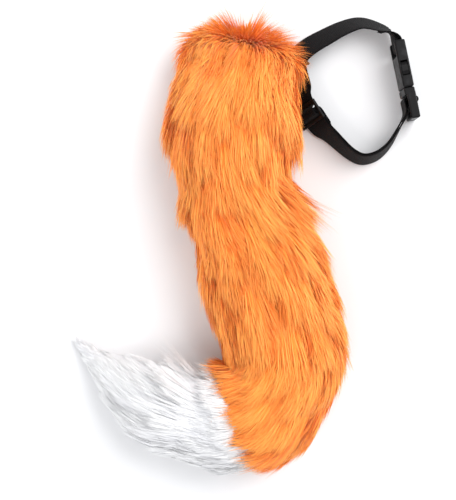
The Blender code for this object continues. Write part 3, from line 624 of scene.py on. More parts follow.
@dataclass
class Undercoat:
    """The stuffed skin of the tail, orange and white, closed and flat where it rests."""

    form: TailForm
    bench: Bench
    sides: int = 72
    step: float = 4 * MM
    tucked: float = 0.86
    dimple: float = 1.1 * MM
    dimple_scale: float = 34.0
    joint_gap: float = 0.4 * MM
    orange_fill: float = 0.85
    white_fill: float = 0.8

    def skin(self, distances: np.ndarray, swells: np.ndarray, pile: float, name: str) -> Any:
        """A closed skin over rings.

        Args:
            distances: Where the rings are.
            swells: Each ring's size.
            pile: Depth of the fur over them.
            name: The piece's name.

        Returns:
            The object.
        """
        angles = np.linspace(0, 2 * math.pi, self.sides, endpoint=False)
        grid = np.broadcast_arrays(distances[:, None], angles[None], swells[:, None])
        points = self.form.point(grid[0], grid[1], pile, grid[2])
        flat = points.reshape(-1, 3)
        lumps = np.array([noise.noise(Vector(p) * self.dimple_scale) for p in flat]) * self.dimple
        centre = np.repeat(points.mean(axis=1), self.sides, axis=0)
        flat = flat + unit(flat - centre) * lumps[:, None]
        flat[:, 2] = np.maximum(flat[:, 2], self.form.floor)
        count = len(distances)
        faces = []
        for row in range(count - 1):
            for k in range(self.sides):
                low = row * self.sides + k
                side = row * self.sides + (k + 1) % self.sides
                faces.append((low, side, side + self.sides, low + self.sides))
        faces.append(tuple(range(self.sides)))
        faces.append(tuple((count - 1) * self.sides + k for k in range(self.sides)))
        mesh = self.bench.mesh(name, flat, faces)
        self.bench.outwards(mesh)
        return self.bench.piece(name, mesh)

    def orange(self) -> bpy.types.Object:
        """The orange skin, with a domed root and a flat end under the fur's edge."""
        end = self.form.end_of_orange()
        distances = np.append(np.arange(self.form.first(), end, self.step), end)
        made = self.skin(distances, self.form.domed(distances), self.form.body_pile, "undercoat_orange")
        made.data.materials.append(ORANGE_UNDERCOAT.build())
        self.bench.hand_over(made, Slot.PLUSH_ORANGE, ("tail_body",))
        return made

    def white(self) -> bpy.types.Object:
        """The white skin, tucked in at its root and closed at the tail's point."""
        start = self.form.end_of_orange() + self.joint_gap
        distances = np.append(np.arange(start, self.form.length, self.step), self.form.length)
        share = (distances - start) / (distances[-1] - start)
        swells = self.tucked + (1.0 - self.tucked) * smooth(share * 4.0)
        made = self.skin(distances, swells, self.form.tip_pile, "undercoat_white")
        made.data.materials.append(WHITE_UNDERCOAT.build())
        self.bench.hand_over(made, Slot.PLUSH_WHITE, ("tail_tip",))
        return made


@dataclass(frozen=True)
class Coat:
    """How one stretch of fur grows."""

    name: str
    start: float
    end: float
    strands: int
    length: float
    width: float
    lift: float
    lock_length: float
    lock_width: float
    finish: FurFinish
    slot: Slot
    seed: int


class StrandTree:
    """The node tree that grows strands on a skin, gathers them in locks and lays them down."""

    INPUTS = (
        ("Density", "NodeSocketFloat"),
        ("Seed", "NodeSocketInt"),
        ("Length", "NodeSocketFloat"),
        ("Width", "NodeSocketFloat"),
        ("Lift", "NodeSocketFloat"),
        ("Lock Length", "NodeSocketFloat"),
        ("Lock Width", "NodeSocketFloat"),
        ("Strand", "NodeSocketObject"),
        ("Finish", "NodeSocketMaterial"),
    )
    LOCK_PULL = 0.62
    TUFT_SHARE = 0.30
    TUFT_PULL = 0.75
    FLOOR = 0.5 * MM

    def __init__(self) -> None:
        """Build the tree."""
        self.tree = bpy.data.node_groups.new("fur_strands", "GeometryNodeTree")
        face = self.tree.interface
        face.new_socket("Geometry", in_out="INPUT", socket_type="NodeSocketGeometry")
        for name, kind in self.INPUTS:
            face.new_socket(name, in_out="INPUT", socket_type=kind)
        face.new_socket("Geometry", in_out="OUTPUT", socket_type="NodeSocketGeometry")
        self.sheet = NodeSheet(self.tree)
        self.given = self.sheet.node("NodeGroupInput").outputs
        strands = self.realized(self.rooted())
        placed = self.sheet.node("GeometryNodeSetPosition")
        self.sheet.put(placed, Geometry=strands, Position=self.shape())
        finished = self.sheet.node("GeometryNodeSetMaterial")
        self.sheet.put(finished, Geometry=placed.outputs[0], Material=self.given["Finish"])
        out = self.sheet.node("NodeGroupOutput")
        self.sheet.feed(out.inputs[0], finished.outputs[0])

    def attribute(self, name: str, kind: str = "FLOAT") -> bpy.types.NodeSocket:
        """A named attribute."""
        made = self.sheet.node("GeometryNodeInputNamedAttribute", data_type=kind)
        self.sheet.put(made, Name=name)
        return self.sheet.socket(made.outputs, "Attribute")

    def stored(self, geometry: Any, name: str, value: Any, kind: str = "FLOAT") -> Any:
        """The geometry with a value kept on its points."""
        made = self.sheet.node("GeometryNodeStoreNamedAttribute", data_type=kind, domain="POINT")
        self.sheet.put(made, Geometry=geometry, Name=name, Value=value)
        return made.outputs[0]

    def chance(self, seed_step: int) -> bpy.types.NodeSocket:
        """A random number from 0 to 1 for each point."""
        made = self.sheet.node("FunctionNodeRandomValue", data_type="FLOAT")
        seed = self.sheet.math("ADD", self.given["Seed"], float(seed_step))
        self.sheet.put(made, Seed=seed)
        return self.sheet.socket(made.outputs, "Value")

    def gathered(self, length: Any, width: Any) -> tuple[Any, Any, Any]:
        """Cells of this size on the unrolled skin.

        Returns:
            The way from a point to its cell's middle, a random number for each cell, and how far out
            of the cell's middle the point lies.
        """
        size = self.sheet.joined(length, width, 1.0)
        where = self.sheet.vector("DIVIDE", self.attribute("unrolled", "FLOAT_VECTOR"), size)
        cells = self.sheet.node("ShaderNodeTexVoronoi", voronoi_dimensions="2D")
        self.sheet.put(cells, Vector=where, Scale=1.0, Randomness=0.9)
        way = self.sheet.vector("SUBTRACT", cells.outputs["Position"], where)
        way = self.sheet.vector("MULTIPLY", way, size)
        return way, self.sheet.parts(cells.outputs["Color"])[0], cells.outputs["Distance"]

    def rooted(self) -> bpy.types.NodeSocket:
        """Points on the skin that know how their strand will lie."""
        given = self.given
        spread = self.sheet.node("GeometryNodeDistributePointsOnFaces")
        density = self.sheet.math("MULTIPLY", given["Density"], self.attribute("cover"))
        self.sheet.put(spread, Mesh=given["Geometry"], Density=density, Seed=given["Seed"])
        points = spread.outputs["Points"]
        where = self.sheet.node("GeometryNodeInputPosition").outputs[0]
        points = self.stored(points, "root", where, "FLOAT_VECTOR")
        points = self.stored(points, "stand", spread.outputs["Normal"], "FLOAT_VECTOR")
        way, lock, far = self.gathered(given["Lock Length"], given["Lock Width"])
        points = self.stored(points, "lock", lock)
        # How far a strand lies from its lock's middle: the fur material paints shade by it, and the
        # strand sits lower by it.
        valley = self.sheet.mapped(far, 0.22, 0.62, 0.0, 1.0)
        points = self.stored(points, "valley", valley)
        tuft_length = self.sheet.math("MULTIPLY", given["Lock Length"], self.TUFT_SHARE)
        tuft_width = self.sheet.math("MULTIPLY", given["Lock Width"], self.TUFT_SHARE)
        small_way, tuft, _ = self.gathered(tuft_length, tuft_width)
        points = self.stored(points, "tuft", tuft)
        pull = self.sheet.total(
            self.sheet.scaled(way, self.LOCK_PULL),
            self.sheet.scaled(small_way, self.TUFT_PULL),
        )
        points = self.stored(points, "pull", pull, "FLOAT_VECTOR")
        for step, name in enumerate(("tone", "reach", "spin")):
            points = self.stored(points, name, self.chance(step + 1))
        return points

    def realized(self, points: Any) -> bpy.types.NodeSocket:
        """A strand at each point, made real."""
        strand = self.sheet.node("GeometryNodeObjectInfo")
        self.sheet.put(strand, Object=self.given["Strand"])
        copies = self.sheet.node("GeometryNodeInstanceOnPoints")
        self.sheet.put(copies, Points=points, Instance=strand.outputs["Geometry"])
        real = self.sheet.node("GeometryNodeRealizeInstances")
        self.sheet.put(real, Geometry=copies.outputs[0])
        return real.outputs[0]

    def shape(self) -> bpy.types.NodeSocket:
        """Where each point of a strand lies."""
        sheet = self.sheet
        flow = self.attribute("flow", "FLOAT_VECTOR")
        stand = self.attribute("stand", "FLOAT_VECTOR")
        side = sheet.vector("NORMALIZE", sheet.vector("CROSS_PRODUCT", stand, flow))
        along = self.attribute("t")
        pile = self.attribute("pile")
        lock_size = sheet.math("MULTIPLY_ADD", self.attribute("lock"), 0.30, 0.85)
        size = sheet.math("MULTIPLY", pile, lock_size)
        reach = sheet.math("MULTIPLY_ADD", self.attribute("reach"), 0.60, 0.66)
        length = sheet.math("MULTIPLY", self.given["Length"], sheet.math("MULTIPLY", reach, size))
        run = sheet.math("MULTIPLY", length, along)
        half_square = sheet.math("MULTIPLY", sheet.math("MULTIPLY", run, run), 0.5)
        bend = sheet.scaled(self.attribute("turn", "FLOAT_VECTOR"), half_square)
        left = sheet.math("SUBTRACT", 1.0, along)
        arch = sheet.math("SUBTRACT", 1.0, sheet.math("MULTIPLY", left, left))
        crown = sheet.math("MULTIPLY_ADD", self.attribute("valley"), -0.45, 1.0)
        height = sheet.math("MULTIPLY_ADD", self.attribute("tone"), 0.7, 0.65)
        height = sheet.math("MULTIPLY", height, sheet.math("MULTIPLY", crown, size))
        rise = sheet.math("MULTIPLY", self.given["Lift"], sheet.math("MULTIPLY", arch, height))
        pull_along, pull_side, _ = sheet.parts(self.attribute("pull", "FLOAT_VECTOR"))
        ease = sheet.math("MULTIPLY", sheet.math("POWER", along, 1.5), pile)
        spin = sheet.math("MULTIPLY_ADD", self.attribute("spin"), 1.7, -0.85)
        broad = sheet.total(
            sheet.scaled(side, sheet.math("COSINE", spin)),
            sheet.scaled(stand, sheet.math("SINE", spin)),
        )
        edge = sheet.math("MULTIPLY", self.given["Width"], self.attribute("side"))
        stray = sheet.math("MULTIPLY", sheet.math("MULTIPLY", spin, 0.0035), ease)
        spot = sheet.total(
            self.attribute("root", "FLOAT_VECTOR"),
            sheet.scaled(flow, sheet.math("ADD", run, sheet.math("MULTIPLY", pull_along, ease))),
            sheet.scaled(side, sheet.math("ADD", sheet.math("MULTIPLY", pull_side, ease), stray)),
            sheet.scaled(stand, rise),
            bend,
            sheet.scaled(broad, edge),
        )
        x, y, z = sheet.parts(spot)
        return sheet.joined(x, y, sheet.math("MAXIMUM", z, self.FLOOR))


@dataclass
class Fur:
    """The coat of strands over the whole tail."""

    SPENT: ClassVar[tuple[str, ...]] = (
        "flow", "turn", "unrolled", "root", "stand", "pull", "cover", "pile", "side", "reach", "spin",
        "tuft",
    )

    form: TailForm
    bench: Bench
    sides: int = 72
    step: float = 4 * MM
    skirt_edge: float = 10.5 * MM
    skirt_slant: float = 4.5 * MM
    splay: float = 0.05
    root_splay: float = 0.22
    root_reach: float = 130 * MM
    wander: float = 0.45
    wander_scale: float = 17.0
    fan: float = 0.75
    back_rise: float = 0.25
    back_droop: float = 0.15
    change_lead: float = 4 * MM
    change_length: float = 20 * MM
    point_length: float = 90 * MM
    point_share: float = 0.24
    settle_length: float = 45 * MM
    settle_share: float = 0.60
    skirt_length: float = 60 * MM
    skirt_share: float = 0.78
    root_length: float = 34 * MM
    root_share: float = 0.58
    bend_start: float = 250 * MM
    bend_end: float = 345 * MM
    bend_rise: float = 30 * MM
    bend_fall: float = 20 * MM
    inner_side: float = -0.3
    pinch: float = 0.45
    bare_height: float = 1.2 * MM
    fade: float = 5 * MM
    parting: float = -5 * MM
    parting_width: float = 11 * MM
    tightest: float = 20 * MM
    strands: int = 37500

    def __post_init__(self) -> None:
        """Build the tree and the strand that every coat shares."""
        self.tree = StrandTree().tree
        rows = ((0.0, 0.55), (0.36, 1.0), (0.72, 0.62))
        verts = [(share * MM, side * width * MM, 0.0) for share, width in rows for side in (-1, 1)]
        verts.append((MM, 0.0, 0.0))
        faces = [(0, 2, 3, 1), (2, 4, 5, 3), (4, 6, 5)]
        mesh = bpy.data.meshes.new("strand")
        mesh.from_pydata(verts, [], faces)
        along = [share for share, _ in rows for _ in (0, 1)] + [1.0]
        side = [sign * 0.5 * width for _, width in rows for sign in (-1, 1)] + [0.0]
        for name, values in (("t", along), ("side", side)):
            mesh.attributes.new(name, "FLOAT", "POINT").data.foreach_set("value", values)
        self.strand = self.bench.piece("strand", mesh)

    def edge(self, angle: np.ndarray) -> np.ndarray:
        """Distance at which the orange gives way to the white."""
        return self.form.end_of_orange() - self.skirt_edge - self.skirt_slant * np.cos(angle)

    def skin(self, coat: Coat) -> dict[str, np.ndarray]:
        """The stretch of skin that a coat grows on, with what its strands read."""
        form = self.form
        count = max(4, round((coat.end - coat.start) / self.step))
        distances = np.linspace(coat.start, coat.end, count + 1)
        angles = np.linspace(-0.5 * math.pi, 1.5 * math.pi, self.sides + 1)
        along, angle = np.meshgrid(distances, angles, indexing="ij")
        white = coat.slot is Slot.PLUSH_WHITE

        def surface(distance: np.ndarray, around: np.ndarray) -> np.ndarray:
            """Points on the skin, which thickens where the white's shorter pile begins."""
            pile = form.body_pile
            if white:
                past = distance - form.end_of_orange() + self.change_lead
                change = smooth(past / self.change_length)
                pile = form.body_pile + (form.tip_pile - form.body_pile) * change
            points = form.point(distance, around, pile, form.domed(distance))
            points[..., 2] = np.maximum(points[..., 2], form.floor)
            return points

        small = 2 * MM
        ahead = surface(along + small, angle) - surface(along, angle)
        behind = surface(along, angle) - surface(along - small, angle)
        tangent = unit(ahead + behind)
        pace = np.linalg.norm(ahead + behind, axis=-1, keepdims=True) * 0.5
        turn = (unit(ahead) - unit(behind)) / np.maximum(pace, 0.35 * small)
        around = unit(surface(along, angle + 0.02) - surface(along, angle - 0.02))
        forward = smooth((along - form.root_start - self.parting) / self.parting_width)
        near_root = 1.0 - smooth((along - form.root_start) / self.root_reach)
        outward = self.splay + (self.root_splay - self.splay) * near_root
        points = surface(along, angle)
        wander = np.array([
            noise.noise(Vector(point) * self.wander_scale) for point in points.reshape(-1, 3)
        ]).reshape(along.shape)
        sideways = -np.cos(angle) * outward + self.wander * wander
        down = tangent + around * sideways[..., None]
        _, heading = form.spine(along)
        fan = heading + math.pi - self.fan * np.cos(angle)
        rise = self.back_rise * np.sin(angle) - self.back_droop
        back = np.stack((np.cos(fan), np.sin(fan), rise), -1)
        flow = unit(back + (down - back) * forward[..., None])
        turn = turn * (forward ** 2)[..., None]
        size = np.linalg.norm(turn, axis=-1, keepdims=True)
        turn = turn * np.minimum(1.0, 1.0 / (self.tightest * np.maximum(size, 1e-9)))
        half, _ = form.core(along, form.body_pile)
        cover = smooth((points[..., 2] - self.bare_height) / self.fade)
        past_edge = smooth((along - self.edge(angle)) / self.fade + 0.5)
        cover = cover * (past_edge if white else 1.0 - past_edge)
        return {
            "points": points,
            "flow": flow,
            "turn": turn,
            "unrolled": np.stack((along, angle * half, np.zeros_like(along)), -1),
            "cover": cover,
            "pile": self.pile(coat, along, angle),
        }

    def pile(self, coat: Coat, along: np.ndarray, angle: np.ndarray) -> np.ndarray:
        """Length of the fur as a share of the coat's, shorter at the colour's edge and the point."""
        form = self.form
        if coat.slot is Slot.PLUSH_WHITE:
            left = np.clip((form.length - along) / self.point_length, 0.0, 1.0)
            past = smooth((along - form.end_of_orange()) / self.settle_length)
            settled = self.settle_share + (1.0 - self.settle_share) * past
            return (self.point_share + (1.0 - self.point_share) * left) * settled
        to_edge = smooth((self.edge(angle) - along) / self.skirt_length)
        skirt = self.skirt_share + (1.0 - self.skirt_share) * to_edge
        from_root = smooth((along - form.root_start) / self.root_length)
        root = self.root_share + (1.0 - self.root_share) * from_root
        inner = np.where(np.cos(angle) < self.inner_side, 1.0, 0.0)
        into_bend = smooth((along - self.bend_start) / self.bend_rise)
        out_of_bend = smooth((along - self.bend_end) / self.bend_fall)
        return skirt * root * (1.0 - self.pinch * inner * into_bend * (1.0 - out_of_bend))

    def grow(self, coat: Coat) -> bpy.types.Object:
        """Grow one coat and hand it over."""
        skin = self.skin(coat)
        rows, columns = skin["cover"].shape
        faces = [
            (i * columns + k, (i + 1) * columns + k, (i + 1) * columns + k + 1, i * columns + k + 1)
            for i in range(rows - 1) for k in range(columns - 1)
        ]
        mesh = self.bench.mesh(coat.name, skin["points"].reshape(-1, 3), faces)
        top = (rows // 2) * (columns - 1) + columns // 2
        if mesh.polygons[top].normal.z < 0:
            mesh.flip_normals()
        for name in ("flow", "turn", "unrolled"):
            kept = mesh.attributes.new(name, "FLOAT_VECTOR", "POINT")
            kept.data.foreach_set("vector", skin[name].astype(np.float32).ravel())
        for name in ("cover", "pile"):
            kept = mesh.attributes.new(name, "FLOAT", "POINT")
            kept.data.foreach_set("value", skin[name].astype(np.float32).ravel())
        cover = skin["cover"].ravel()
        grown = sum(face.area * cover[list(face.vertices)].mean() for face in mesh.polygons)
        made = self.bench.piece(coat.name, mesh)
        values = {
            "Density": coat.strands / grown,
            "Seed": coat.seed,
            "Length": coat.length,
            "Width": coat.width,
            "Lift": coat.lift,
            "Lock Length": coat.lock_length,
            "Lock Width": coat.lock_width,
            "Strand": self.strand,
            "Finish": coat.finish.build(),
        }
        self.bench.grown(made, self.tree, values)
        for name in self.SPENT:
            kept = made.data.attributes.get(name)
            if kept:
                made.data.attributes.remove(kept)
        return self.bench.hand_over(made, coat.slot)

    def coats(self) -> tuple[Coat, ...]:
        """Every coat of the tail, root to point."""
        form = self.form
        end = form.end_of_orange()
        cuts = (form.first(), 105 * MM, 215 * MM, end)
        names = ("fur_root", "fur_middle", "fur_bend")
        orange = tuple(
            Coat(
                name, low, high, self.strands, length=35 * MM, width=0.85 * MM, lift=9.5 * MM,
                lock_length=38 * MM, lock_width=12 * MM, finish=ORANGE_FUR,
                slot=Slot.PLUSH_ORANGE, seed=SEED + number,
            )
            for number, (name, low, high) in enumerate(zip(names, cuts, cuts[1:]))
        )
        white = Coat(
            "fur_white", end - 26 * MM, form.length - 1 * MM, self.strands, length=27 * MM,
            width=0.62 * MM, lift=4.5 * MM, lock_length=26 * MM, lock_width=8 * MM,
            finish=WHITE_FUR, slot=Slot.PLUSH_WHITE, seed=SEED + 9,
        )
        return (*orange, white)

    def build(self) -> list[bpy.types.Object]:
        """Grow every coat."""
        made = [self.grow(coat) for coat in self.coats()]
        bpy.data.objects.remove(self.strand)
        return made


@dataclass(frozen=True)
class BeltBend:
    """The belt's lower edge seen from above, its lean and its height, beside the buckle."""

    along: float
    inward: float
    lean_deg: float
    height: float


@dataclass(frozen=True)
class Station:
    """A place on the webbing's way round a bar, as shares of the fitting's reach and climb."""

    along: float
    out: float


@dataclass
class BeltLine:
    """The surface the webbing follows, unrolled: s along it, o out of the loop, w across it."""

    form: TailForm
    width: float = 25 * MM
    thickness: float = 1.3 * MM
    layer_gap: float = 0.35 * MM
    touch_gap: float = 0.3 * MM
    wrap_gap: float = 0.5 * MM
    loop_length: float = 124 * MM
    loop_depth: float = 96 * MM
    seat: float = 31 * MM
    tuck: float = 3.4 * MM
    floor_lift: float = 0.3 * MM
    buckle_length: float = 66.4 * MM
    buckle_width: float = 33.5 * MM
    buckle_heading_deg: float = -78.27
    strap_side: float = 3.8 * MM
    strap_bar: float = 3.0 * MM
    socket_bar_width: float = 7.5 * MM
    bar_inset: float = 0.5 * MM
    plug_bar_back: float = 15.9 * MM
    plug_bar_rise: float = 3.6 * MM
    keeper_wall: float = 1.2 * MM
    slider_width: float = 31 * MM
    slider_bar: float = 2.6 * MM
    slider_mid_bar: float = 2.0 * MM
    slider_slot: float = 5.3 * MM
    slider_thickness: float = 2.0 * MM
    slider_flat: float = 11 * MM
    slider_ease: float = 12 * MM
    lift_fade: float = 0.35
    slider_row: int = 12
    keeper_row: int = 8
    socket_entry: tuple[float, ...] = (21 * MM, 14 * MM, 7 * MM, 0.0, -5 * MM)
    plug_exit: tuple[float, ...] = (5.8 * MM, 12.4 * MM, 19.4 * MM, 26.4 * MM, 33.4 * MM)
    bends: tuple[BeltBend, ...] = (
        BeltBend(-0.380, 0.014, 20, 0.55),
        BeltBend(-0.436, 0.090, 26, 0.20),
        BeltBend(-0.491, 0.211, 30, 0.0),
        BeltBend(-0.508, 0.319, 33, 0.0),
        BeltBend(-0.497, 0.472, 37, 0.0),
        BeltBend(-0.469, 0.624, 41, 0.0),
        BeltBend(-0.437, 0.768, 43, 0.0),
        BeltBend(-0.383, 0.900, 44, 0.0),
        BeltBend(-0.302, 0.986, 44, 0.0),
        BeltBend(-0.210, 1.000, 43, 0.0),
        BeltBend(-0.107, 0.984, 41, 0.0),
        BeltBend(0.000, 0.974, 38, 0.0),
        BeltBend(0.110, 0.953, 36, 0.0),
        BeltBend(0.200, 0.876, 31, 0.0),
        BeltBend(0.297, 0.761, 21, 0.0),
        BeltBend(0.424, 0.628, 15, 0.0),
        BeltBend(0.492, 0.510, 15, 0.0),
        BeltBend(0.485, 0.359, 13, 0.0),
        BeltBend(0.419, 0.228, 9, 0.15),
        BeltBend(0.314, 0.119, 5, 0.55),
    )

    def __post_init__(self) -> None:
        """Set the buckle beside the root and lay the belt's lower edge out."""
        heading = math.radians(self.buckle_heading_deg)
        self.along = np.array((math.cos(heading), math.sin(heading)))
        self.outward = np.array((-self.along[1], self.along[0]))
        place, turned = self.form.spine(np.array(self.seat))
        side = np.array((-math.sin(turned), math.cos(turned)))
        half, _ = self.form.core(self.seat, self.form.body_pile)
        far = place + side * (half - self.tuck)
        row = max(self.bends, key=lambda bend: bend.inward)
        self.middle = far + self.outward * self.loop_depth - self.along * row.along * self.loop_length
        spans = 10
        rows = self.rows()
        self.fine = catmull(rows, spans)
        steps = np.linalg.norm(np.diff(self.fine[:, :2], axis=0), axis=1)
        self.s = np.concatenate(((0.0,), np.cumsum(steps)))
        self.s -= self.s[self.socket_entry.index(0.0) * spans]
        first = len(self.socket_entry)
        self.slider_s = self.s[(first + self.slider_row) * spans]
        self.keeper_s = self.s[(first + self.keeper_row) * spans]
        straight = self.s[(len(rows) - 4) * spans]
        self.plug_bar_s = straight + self.plug_bar_back - self.plug_exit[1]
        self.slider_frame = self.raw(self.slider_s)

    def flat(self, along: float, inward: float) -> np.ndarray:
        """A point seen from above, from the buckle's middle."""
        return self.middle + self.along * along - self.outward * inward

    def rows(self) -> list[tuple[float, float, float, float]]:
        """Places of the lower edge with its lean and lift, from the socket round to the plug."""
        strap_z = 0.5 * (self.buckle_width - self.width)
        half = 0.5 * self.buckle_length
        rows = [(*self.flat(x - half, 0.0), 0.0, strap_z) for x in self.socket_entry]
        pitch = self.thickness + self.layer_gap
        slider_z = 0.5 * (self.slider_width - self.width) + self.floor_lift
        keeper_z = math.sqrt(2.0) * (self.layer_gap + self.keeper_wall) + 3 * self.floor_lift
        for number, bend in enumerate(self.bends):
            spot = self.flat(bend.along * self.loop_length, bend.inward * self.loop_depth)
            by_slider = slider_z * (1.0 - self.lift_fade * abs(number - self.slider_row))
            by_keeper = keeper_z * (1.0 - self.lift_fade * abs(number - self.keeper_row))
            sagging = self.floor_lift + pitch * math.sin(math.radians(bend.lean_deg))
            lift = max(bend.height * strap_z, by_slider, by_keeper, sagging)
            rows.append((*spot, bend.lean_deg, lift))
        for back in self.plug_exit:
            rows.append((*self.flat(half - back, self.strap_side), 0.0, strap_z))
        return rows

    def edge(self, s: float) -> np.ndarray:
        """Place of the lower edge, lean and lift at s, carried on straight past both ends."""
        held = min(max(s, self.s[0]), self.s[-1])
        row = np.array([np.interp(held, self.s, self.fine[:, k]) for k in range(4)])
        if s != held:
            back = held + (MM if held > s else -MM)
            near = np.array([np.interp(back, self.s, self.fine[:, k]) for k in range(2)])
            row[:2] += (row[:2] - near) / MM * abs(s - held)
        return row

    def raw(self, s: float) -> tuple[Vector, Vector, Vector, Vector]:
        """Middle, tangent, outward normal and width direction of the webbing at s."""
        ahead = self.edge(s + 0.5 * MM)
        behind = self.edge(s - 0.5 * MM)
        way = Vector((ahead[0] - behind[0], ahead[1] - behind[1], 0.0)).normalized()
        inward = Vector((-way.y, way.x, 0.0))
        here = self.edge(s)
        lean = math.radians(here[2])
        across = inward * math.sin(lean) + Vector((0, 0, 1)) * math.cos(lean)
        outward = way.cross(across)
        if outward.dot(inward) > 0:
            outward = -outward
        rest = 0.5 * (self.width * math.cos(lean) + self.thickness * math.sin(lean))
        low = Vector((here[0], here[1], here[3]))
        middle = low + inward * (0.5 * self.width * math.sin(lean)) + Vector((0, 0, rest))
        return middle, way, outward, across

    def at(self, s: float) -> tuple[Vector, Vector, Vector, Vector]:
        """As raw, but flat and straight where the slider sits."""
        middle, way, outward, across = self.raw(s)
        share = 1.0 - float(smooth((abs(s - self.slider_s) - self.slider_flat) / self.slider_ease))
        if share <= 0.0:
            return middle, way, outward, across
        seat, run, out, wide = self.slider_frame
        middle = middle.lerp(seat + run * (s - self.slider_s), share)
        across = across.lerp(wide, share).normalized()
        outward = outward.lerp(out, share)
        outward = (outward - across * outward.dot(across)).normalized()
        return middle, way.lerp(run, share), outward, across

    def point(self, s: float, o: float, w: float) -> Vector:
        """A point at s along the belt, o out of the loop and w across it."""
        middle, _, outward, across = self.at(s)
        return middle + outward * o + across * w


